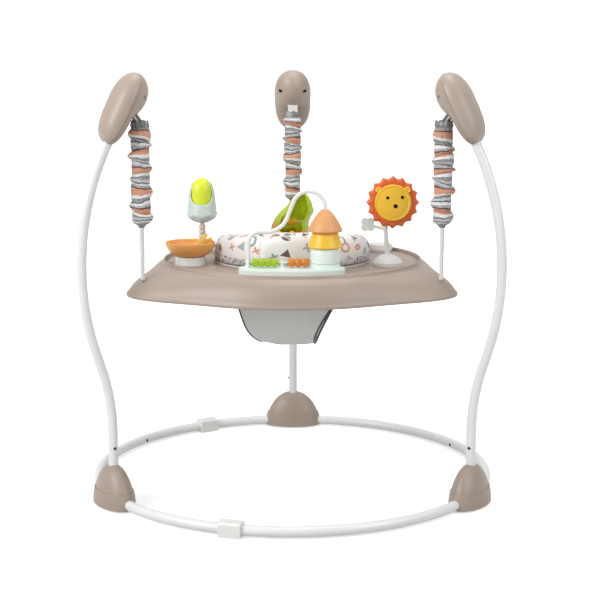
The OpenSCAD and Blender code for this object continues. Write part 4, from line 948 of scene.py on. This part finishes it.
def swell(thing, floor_z):
    """Remeshes the piece, inflates it as cloth and caps how far a point moves."""
    remesh = thing.modifiers.new("even", "REMESH")
    remesh.mode = "VOXEL"
    remesh.voxel_size = SWELL_VOXEL
    bake(thing)
    rest = [v.co.copy() for v in thing.data.vertices]
    cloth = thing.modifiers.new("cloth", "CLOTH")
    cloth.settings.quality = 5
    cloth.settings.mass = 0.2
    cloth.settings.use_pressure = True
    cloth.settings.uniform_pressure_force = SWELL_PRESSURE
    cloth.settings.tension_stiffness = 12
    cloth.settings.bending_stiffness = 0.4
    cloth.settings.effector_weights.gravity = 0
    cloth.point_cache.frame_start, cloth.point_cache.frame_end = 1, SWELL_FRAMES
    for number in range(1, SWELL_FRAMES + 1):
        scene.frame_set(number)
    bake(thing)
    scene.frame_set(1)
    for v, home in zip(thing.data.vertices, rest):
        move = v.co - home
        if move.length > SWELL_CAP:
            move *= SWELL_CAP / move.length
        hold = smooth_step((home.z - floor_z) / SWELL_HELD)
        v.co = home + move * hold


swell(pad, PAD_Z * MM)
print("pad ring:", len(pad.data.vertices), "points")

# %% Seams and print of the pad
SEAM_HALF, SEAM_DEPTH, RUCK_REACH, RUCK_DEPTH = 0.0035, 0.0026, 0.03, 0.0007
PRINT_GIRTH_R = 27


def nearest_seam(x, y):
    """Signed distance along the ring to the nearest seam, in metres."""
    spot = atan2(y, x)
    gaps = [(spot - radians(s) + pi) % (2 * pi) - pi for s in SEAMS]
    return min(gaps, key=abs) * hypot(x, y)


for v in pad.data.vertices:
    place = v.co - RING_MIDDLE
    gap = nearest_seam(place.x, place.y)
    pull = SEAM_DEPTH * exp(-(gap / SEAM_HALF) ** 2)
    ruck = RUCK_DEPTH * sin(gap * 900) * exp(-(gap / RUCK_REACH) ** 2)
    core = Vector((place.x, place.y, 0)).normalized() * PRINT_R * MM + Vector((0, 0, PAD_CORE * MM))
    if place.z > (PAD_Z + 3) * MM:
        v.co += (core - place).normalized() * (pull + ruck)
    place = v.co - RING_MIDDLE
    reach = hypot(place.x, place.y)
    if reach > PAD_R * MM:
        inward = PAD_R * MM / reach
        v.co.x, v.co.y = RING_MIDDLE.x + place.x * inward, RING_MIDDLE.y + place.y * inward
flat = pad.data.attributes.new("flat", "FLOAT_VECTOR", "POINT")
for v, spot in zip(pad.data.vertices, flat.data):
    place = (v.co - RING_MIDDLE) / MM
    turn = (atan2(place.y, place.x) - pi / 2) % (2 * pi)
    across = atan2(place.z - PAD_CORE, hypot(place.x, place.y) - PAD_MIDDLE)
    spot.vector = (turn * PRINT_R, across * PRINT_GIRTH_R, 0)
smooth(pad.data)
finer = pad.modifiers.new("finer", "SUBSURF")
finer.levels = finer.render_levels = 1
dress(pad, "seat", "pad_cloth", "seat_pad")
print("pad:", len(pad.data.vertices), "points,", len(SEAMS), "seams")

# %% [markdown]
# ## Turned pieces
# The trim round the pad and most of the toys are round about an axis, so one
# profile of radius and height draws each of them. A screw modifier would turn it
# too, but here the points are turned one by one, so that a small function can
# change the profile on the way round, as for petals or a mane. A mould leaves no
# sharp corners, and `rounded` takes them off the profile.

# %% Turning a profile
def turned(profile, steps, shape=None):
    """Points of a profile of (radius, height) in millimetres, turned about Z."""
    points = []
    for angle in turns(steps):
        for r, z in profile:
            r2, z2 = shape(angle, r, z) if shape else (r, z)
            points.append(Vector((r2 * cos(angle), r2 * sin(angle), z2)) * MM)
    return points


def lathe(name, profile, where, material, steps=96, turn=None, shape=None):
    """A turned piece: the closed profile runs round, and `turn` tips its axis."""
    place = Matrix.Translation(where) @ (turn or Matrix.Identity(4))
    points = [place @ p for p in turned(profile, steps, shape)]
    return piece(name, points, grid(steps, len(profile)), material)


def rounded(profile, radius, steps=4):
    """The closed profile with each corner off the axis rounded by that radius."""
    out = []
    count = len(profile)
    for i, here in enumerate(profile):
        before, after = Vector(profile[i - 1]), Vector(profile[(i + 1) % count])
        spot = Vector(here)
        if spot.x < 0.01:
            out.append(tuple(spot))
            continue
        back, on = before - spot, after - spot
        reach = min(radius, back.length * 0.45, on.length * 0.45)
        start, end = spot + back.normalized() * reach, spot + on.normalized() * reach
        for k in range(steps + 1):
            t = k / steps
            out.append(tuple(start * (1 - t) ** 2 + spot * 2 * t * (1 - t) + end * t * t))
    return out


print("a square of 10 mm, rounded, has", len(rounded([(5, 0), (15, 0), (15, 10), (5, 10)], 1)), "points")

# %% [markdown]
# A band of speckled trim runs round the foot of the pad, over the edge of the
# seat ring. It is a soft rolled strip, so a turned profile with a slight waver
# is enough.

# %% Pad trim
TRIM = [(146, 458), (156.4, 457.4), (158.6, 461), (158.4, 467), (156.5, 470.5), (146, 466)]


def waver(angle, r, z):
    return r + 0.5 * sin(9 * angle) + 0.3 * sin(23 * angle), z + 0.4 * sin(7 * angle)


trim_profile = rounded(TRIM, 2.5)
trim = lathe("pad_trim", trim_profile, RING_MIDDLE, trim_cotton, steps=160, shape=waver)
dress(trim, "seat", "pad_cloth")
print("trim round the pad:", len(trim_profile), "points in its section")

# %% [markdown]
# The sling hangs from a cloth band sewn round the ring's lower edge. It is a
# short upright sheet, pulled a little wavy by the stitches.

# %% Seat band
BAND_OUT_R, BAND_LOW, BAND_TALL, BAND_WALL = 144.2, 408.4, 37.2, 1.6
band_rows, band_cols = 12, 180
band_points = []
for a in turns(band_cols):
    for i in range(band_rows + 1):
        part = i / band_rows
        r = BAND_OUT_R + 0.45 * sin(24 * a) * sin(pi * part) + 0.3 * sin(7 * a)
        band_points.append(around(r, a, BAND_LOW + BAND_TALL * part))
band = piece("seat_band_cloth", band_points, grid(band_cols, band_rows + 1, True, False), band_cloth)
thicken(band, BAND_WALL, offset=0)
dress(band, "seat", "band_cloth", "seat_band")
print("band:", len(band_points), "points")

# %% [markdown]
# ## Seat sling
# The sling is one piece of spacer mesh, sewn to the band in front and behind
# and drawn together between the legs, with a dark tape bound round each leg
# hole. The sheet follows the drawing's curve from the front hem under the crotch
# to the back hem, with shallow folds and a slight twist, as it hangs in the
# photograph, and gets its thickness from a modifier.

# %% Seat sling
SLING_LOW, SLING_TOP, CROTCH, BAND_R, SLING_WALL = 281, 446, 56, 142.7, 1.6
SLING_SHIFT, SLING_BULGE, SLING_SAG, SLING_TWIST = 8, 6, 4, radians(-10)


def sling_spot(u, v):
    """A place on the sling: u from leg hole to leg hole, v from front hem to back hem."""
    f = radians(90 * abs(v))
    low, aslant = cos(f), sin(2 * f)
    wide = CROTCH + (BAND_R - CROTCH) * (1 - low) ** 1.35
    leg_gap = 0.6 * sin(min(pi, 2.4 * f)) ** 2
    fold = 1 + 0.018 * cos(radians(540 * u)) * aslant
    reach = BAND_R * sin(f) * fold
    wrap = radians(70 + 20 * smooth_step((abs(v) - 0.75) / 0.2))
    y = copysign(max(reach * (leg_gap + (1 - leg_gap) * cos(wrap * u)), min(reach, 3)), v)
    z = SLING_LOW + 1 + (SLING_TOP - 5 - SLING_LOW) * (1 - low) - SLING_SAG * (1 - u * u) * low
    z += (1.4 * sin(7 * u + 3 * v) + 0.8 * sin(11 * u - 6 * v)) * aslant
    x = wide * sin(wrap * u) / sin(wrap) - SLING_SHIFT * low - SLING_BULGE * max(0, -u) * aslant
    c, s = cos(SLING_TWIST), sin(SLING_TWIST)
    return at(x * c - y * s, x * s + y * c, z)


rows, cols = 96, 48
sling_points = []
for r in range(rows + 1):
    sling_points += [sling_spot(2 * c / cols - 1, 2 * r / rows - 1) for c in range(cols + 1)]
sling = piece("seat_cloth", sling_points, grid(rows + 1, cols + 1, False, False), mesh_knit)
thicken(sling, SLING_WALL)
dress(sling, "seat", "mesh_cloth", "seat_sling")
print("sling:", len(sling_points), "points")

# %% Bindings of the sling
TAPE_R, TAPE_SIDES = 0.0027, 10


def tape(name, route, radius, material):
    """A soft round binding along a route of points."""
    points = []
    for i, spot in enumerate(route):
        ahead = (route[min(i + 1, len(route) - 1)] - route[max(i - 1, 0)]).normalized()
        across = ahead.cross(Vector((0.3, 0.2, 1))).normalized()
        up = across.cross(ahead)
        for b in turns(TAPE_SIDES):
            points.append(spot + (across * cos(b) + up * sin(b)) * radius)
    return piece(name, points, capped(len(route), TAPE_SIDES), material)


for side, u in (("left", -1), ("right", 1)):
    route = [sling_spot(u, -1 + 2 * k / 120) for k in range(6, 115)]
    binding = tape(f"leg_binding_{side}", route, TAPE_R, tape_cloth)
    replaced = ["sling_binding"] if side == "left" else []
    dress(binding, "seat", "binding_tape", *replaced)
middle_line = [sling_spot(0, -1 + 2 * k / 60) for k in range(61)]

# %% [markdown]
# ## Toys: the cone tower
# Three spinning cones stand on the bead wire. Their profiles are turned: a
# bell-shaped peach cone on top, a yellow skirt and a mint drum, each with a soft
# edge, and each keeps the bore that the wire runs through.

# %% Cone tower
TOWER_R, TOWER_ANGLE, WIRE_BORE, CONE_EDGE = 193.725, radians(289), 4.1, 1.6
TOWER = around(TOWER_R, TOWER_ANGLE, 0)
CONES = [
    ("cone_mint", 473.3, mint_abs, "mint_plastic",
     [(28.6, 0), (29.4, 1.5), (29.2, 8), (28.2, 18), (26.4, 26), (24, 29)]),
    ("cone_yellow", 502.6, yellow_abs, "yellow_plastic",
     [(31.4, 0), (32.3, 1.5), (31.4, 5), (28, 16), (24.8, 26), (22.6, 30)]),
    ("cone_orange", 532.9, peach_abs, "orange_plastic",
     [(32, 0), (33, 1.5), (32.2, 5), (27, 16), (18.8, 29), (11, 38), (6.8, 41.8)]),
]
for name, low, material, slot, profile in CONES:
    outline = [(WIRE_BORE, profile[-1][1]), (WIRE_BORE, profile[0][1])] + profile
    place = TOWER + Vector((0, 0, low * MM))
    dress(lathe(f"{name}_turned", rounded(outline, CONE_EDGE), place, material), name, slot, name)
print("cones on the tower at", tuple(round(x, 4) for x in TOWER))

# %% [markdown]
# ## Toys: bowl and chips
# The bowl is a turned shell, full at the sides, with a rolled rim, on a white
# stand. Six square sticks stand in it, fanned out to one side. Each is given by
# its foot's place, its lean, its swing and its length.

# %% Bowl and chips
BOWL_R, BOWL_ANGLE, BOWL_Z = 211, radians(196.3), 468.3
BOWL = around(BOWL_R, BOWL_ANGLE, BOWL_Z)
BOWL_OUTSIDE = [(5.1, 0), (24.4, 0), (25.6, 0.3), (29.3, 1.2), (33.4, 3.2), (37.6, 6.2), (41.8, 10),
                (45.6, 15), (48.2, 20), (49.6, 25), (50, 27.6), (49.7, 28.6)]
BOWL_INSIDE = [(48.9, 29), (47.9, 28.6), (47.3, 27.4), (46.8, 24), (45.3, 19), (42.6, 14), (38, 9.6),
               (32, 6.8), (24, 5.3), (0, 5), (0, 3.1), (5.1, 3.1)]
bowl = lathe("bowl_turned", BOWL_OUTSIDE + BOWL_INSIDE, BOWL, orange_abs, steps=120)
dress(bowl, "bowl", "orange_plastic", "bowl")

CHIP_W, CHIP_EDGE, CHIP_FOOT = 6.4, 1.1, 8.2
CHIPS = [(2, -13, 46, -10, 44), (8, -5, 50, -4, 46), (-1, 4, 44, 8, 46), (8, 10, 52, 12, 38),
         (14, -15, 58, -14, 32), (5, -4, 38, 2, 46)]
for k, (x, y, lean, swing, tall) in enumerate(CHIPS):
    place = Matrix.Translation(BOWL + Vector((x, y, CHIP_FOOT)) * MM)
    turn = Matrix.Rotation(radians(swing), 4, "Z") @ Matrix.Rotation(radians(lean), 4, "Y")
    sides = (-CHIP_W / 2, CHIP_W / 2)
    corners = [Vector((a, b, c)) * MM for a in sides for b in sides for c in (0, tall)]
    chip = piece(f"chip_{k + 1}", [place @ turn @ corner for corner in corners], BOX_FACES, chip_abs)
    soften(chip, CHIP_EDGE)
    replaced = ["chips"] if k == 0 else []
    dress(chip, "bowl", "yellow_plastic", *replaced)
print("bowl with", len(CHIPS), "chips")

# %% [markdown]
# ## Toys: tulip
# The tulip is a sage bell that flares near its foot. It is open in front and
# behind in a deep round window, so that two petals rise at the sides and close in
# over a lime egg. The bell is a turned section whose rim height, flare and lean
# change round it.

# %% Tulip
TULIP_R, TULIP_ANGLE, TULIP_Z = 225, radians(148), 514
EGG_LIFT, WINDOW, WINDOW_POWER, PETAL_RISE = 35, radians(66), 2.8, 44
TULIP = around(TULIP_R, TULIP_ANGLE, TULIP_Z)
EGG = [(0, -24), (9, -22), (16.5, -17), (21.6, -9), (23.2, 0), (23.3, 16), (23.2, 32), (21.8, 42),
       (18.4, 49.5), (13, 55.4), (7, 59), (0, 60.5)]
BELL = [(0, 0), (8, 0.3), (16, 3), (24, 8), (30.5, 13), (32.4, 16.5), (31.9, 18.5), (30.8, 22), (29.4, 27),
        (28.0, 33), (27, 39), (26.3, 40.4), (25.4, 40.2), (25.0, 39), (25.2, 33), (25.6, 27), (26, 21),
        (25, 15), (18, 10), (9, 8.6), (0, 8.4)]


def egg_radius(z):
    """Radius of the egg at a height above the bell's foot."""
    for (r1, z1), (r2, z2) in zip(EGG, EGG[1:]):
        if z1 <= z - EGG_LIFT <= z2:
            return r1 + (r2 - r1) * (z - EGG_LIFT - z1) / (z2 - z1)
    return 0


def petal(angle, r, z):
    """Lifts the bell's upper part outside the two windows and leans it in over the egg."""
    away = min(1, acos(min(1, abs(sin(angle)))) / WINDOW)
    side = 1 - (1 - away ** WINDOW_POWER) ** (1 / WINDOW_POWER)
    flare = exp(-((z - 15) / 9) ** 2)
    between = 1 - abs(cos(angle)) ** 0.7
    lip = 2.2 * cos(6 * angle) * flare
    high = z + smooth_step((z - 20) / 20) * side * PETAL_RISE + lip * min(1, r / 20)
    drawn_in = max(0, 24.2 - egg_radius(high)) if high > 62 else 0
    return r * (1 - 0.06 * flare * between) - drawn_in, high


bell_cup = lathe("tulip_bell", BELL, TULIP, sage_abs, steps=180, shape=petal)
dress(bell_cup, "tulip", "mint_plastic", "tulip_cup")
egg = lathe("tulip_egg", EGG, TULIP + Vector((0, 0, EGG_LIFT)) * MM, egg_abs)
dress(egg, "tulip_ball", "lime_plastic", "tulip_ball")
print("tulip top at", TULIP_Z + EGG_LIFT + EGG[-1][1], "mm")

# %% [markdown]
# ## Toys: lion
# The lion's head is a disc with an edge of round waves, and a domed yellow face
# with a raised rim, two small round ears, two eyes and a nose: the plain face of
# a toy animal. It spins on a hub, so all of it lies about one axis that points at
# the child's front. Each feature is given by its place, radius and height.

# %% Lion
LION_R, LION_ANGLE = 203, radians(339)
LION = around(LION_R, LION_ANGLE, 0)
MANE = LION + Vector((8, -11.9, 578)) * MM
FACING = Matrix.Rotation(radians(90), 4, "X")
MANE_POINTS, MANE_R, MANE_FLAT_R, MANE_DIP = 16, 52, 34, 5.2
MANE_PROFILE = [(4.1, -6), (41, -6), (47, -5.4), (50, -3.8), (MANE_R, -0.5), (50.2, 2.8), (47.4, 4.8),
                (42, 5.8), (37.5, 6), (35.6, 5.6), (4.1, 5.6)]
FACE_PROFILE = [(4.1, 6), (34.2, 6), (35.6, 7.4), (36, 9.4), (35.2, 11.6), (33.6, 12.6), (32, 12.2),
                (30.8, 11.6), (29, 12.4), (22, 14.0), (12, 15), (0, 15.4), (0, 13), (4.1, 13)]
EAR = [(0, 5.8), (6.0, 5.8), (6.6, 7.6), (6.0, 10.4), (4.4, 11.6), (3.2, 10.4), (0, 9.8)]
FEATURES = {"eye_left": (-10.5, 10, 3.5, 15.1), "eye_right": (17.5, 11, 3.5, 14.6),
            "nose": (4.5, -6, 4.5, 15.6)}


def waved(angle, r, z):
    """Draws the mane's edge in between its waves."""
    dip = MANE_DIP * abs(sin(MANE_POINTS * angle / 2)) ** 1.3
    return r - dip * max(0, r - MANE_FLAT_R) / (MANE_R - MANE_FLAT_R), z


mane = lathe("lion_mane_pointed", MANE_PROFILE, MANE, mane_abs, steps=480, turn=FACING, shape=waved)
dress(mane, "lion_head", "mane_plastic", "lion_mane")
lion_face = lathe("lion_face_domed", FACE_PROFILE, MANE, yellow_abs, turn=FACING)
dress(lion_face, "lion_head", "yellow_plastic", "lion_face")
for side, x in (("left", -28), ("right", 28)):
    place = MANE + Vector((x, 0, 25)) * MM
    ear = lathe(f"lion_ear_{side}", rounded(EAR, 0.8), place, yellow_abs, steps=48, turn=FACING)
    dress(ear, "lion_head", "yellow_plastic")
for name, (x, z, r, proud) in FEATURES.items():
    bead = [(0, -1.4), (r, -1.2), (r * 1.02, 0), (r * 0.8, 0.75), (r * 0.4, 1.15), (0, 1.25)]
    place = MANE + Vector((x, -proud + 0.7, z)) * MM
    mark = lathe(f"lion_{name}", bead, place, brown_abs, steps=32, turn=FACING)
    replaced = ["lion_features"] if name == "eye_left" else []
    dress(mark, "lion_head", "brown_plastic", *replaced)
print("mane with", MANE_POINTS, "waves")

# %% [markdown]
# ## Toys: leaf hood
# Behind the seat stands a hood like a curled leaf that leans to the right, open in
# front, on a yellow flower base with low petals. Each row of the leaf is an arc
# between a left and a right edge; the list below gives both edges over the
# height, with a flared flap low on the left and a lobe high on the right.

# %% Leaf hood
HOOD = at(-8, 207, 452)
LEAF_EDGES = [(6, -33, 40), (24, -36, 43), (34, -38, 44), (46, -38, 43), (54, -34, 43), (62, -30, 46),
              (68, -26, 49), (74, -21, 53), (82, -13, 54), (88, -6, 51), (94, -1, 50), (100, 4, 48),
              (107, 10, 44), (113, 17, 40), (116.5, 24, 36), (118, 29, 32)]
LEAF_LOW, LEAF_TALL, LEAF_DEEP, LEAF_OPEN, LEAF_WALL = 6, 112, 40, 44, 2.2


def leaf_edge(z):
    """Left and right edge of the leaf at a height, from the list."""
    for (z1, l1, r1), (z2, l2, r2) in zip(LEAF_EDGES, LEAF_EDGES[1:]):
        if z <= z2:
            t = (z - z1) / (z2 - z1)
            return l1 + (l2 - l1) * t, r1 + (r2 - r1) * t
    return LEAF_EDGES[-1][1:]


rows, cols = 70, 80
leaf_points, leaf_tips = [], []
for i in range(rows + 1):
    z = LEAF_LOW + LEAF_TALL * sin(pi / 2 * i / rows)
    left, right = leaf_edge(z)
    middle, half = (left + right) / 2, (right - left) / 2
    deep = LEAF_DEEP * sqrt(max(0.0, 1 - (max(0, z - 34) / 85) ** 2.2)) + 1.5
    jag = 4 * abs(sin(pi * z / 22))
    open_half = radians(LEAF_OPEN - jag)
    for k in range(cols + 1):
        a = -pi / 2 + open_half + (2 * pi - 2 * open_half) * k / cols
        vein = 0.6 * cos(11 * (a - pi / 2))
        flap = 0.35 * smooth_step(-cos(a) - 0.3) * smooth_step((60 - z) / 40)
        y = (deep + vein) * sin(a) - 10 * flap
        leaf_points.append(HOOD + Vector((middle + (half + vein) * cos(a), y, z)) * MM)
        leaf_tips.append(smooth_step((-cos(a) - 0.35) / 0.4) * smooth_step((66 - z) / 26))
hood_leaf = piece("leaf_hood", leaf_points, grid(rows + 1, cols + 1, False, False), leaf_abs)
hood_leaf.data.attributes.new("tip", "FLOAT", "POINT").data.foreach_set("value", leaf_tips)
thicken(hood_leaf, LEAF_WALL)
dress(hood_leaf, "tray", "lime_plastic", "hood")
print("hood:", len(hood_leaf.data.vertices), "points")

# %% Flower base and axle of the hood
FLOWER = [(0, 0), (33, 0), (37, 2), (40, 9), (41.6, 20), (42, 31), (41.6, 35), (40.6, 35.4), (39.8, 34),
          (39.2, 22), (37.4, 12), (33, 7.5), (0, 6.5)]
AXLE_X, AXLE_Z, AXLE_R = (-29, -15, 0, 20, 41), 55, 0.0019


def flower(angle, r, z):
    """Low petals: the rim rises and falls round the base."""
    wave = cos(9 * angle)
    return r * (1 + 0.03 * wave * z / 36), z + 3.4 * wave * max(0, z - 16) / 20


hood_base = lathe("hood_flower_base", FLOWER, HOOD, yellow_abs, steps=180, shape=flower)
dress(hood_base, "tray", "lime_plastic")
axle = tape("hood_axle", [HOOD + Vector((x, 0, AXLE_Z)) * MM for x in AXLE_X], AXLE_R, white_pp)
dress(axle, "tray", "white_moulding")
print("axle of the hood at", AXLE_Z, "mm above the deck")

# %% [markdown]
# ## Smooth shading
# At the end every solid from model.glb is shaded smooth. The dressed model
# must stay in the CAD model's box.

# %% Finish
for name in nodes:
    smooth(nodes[name].data)
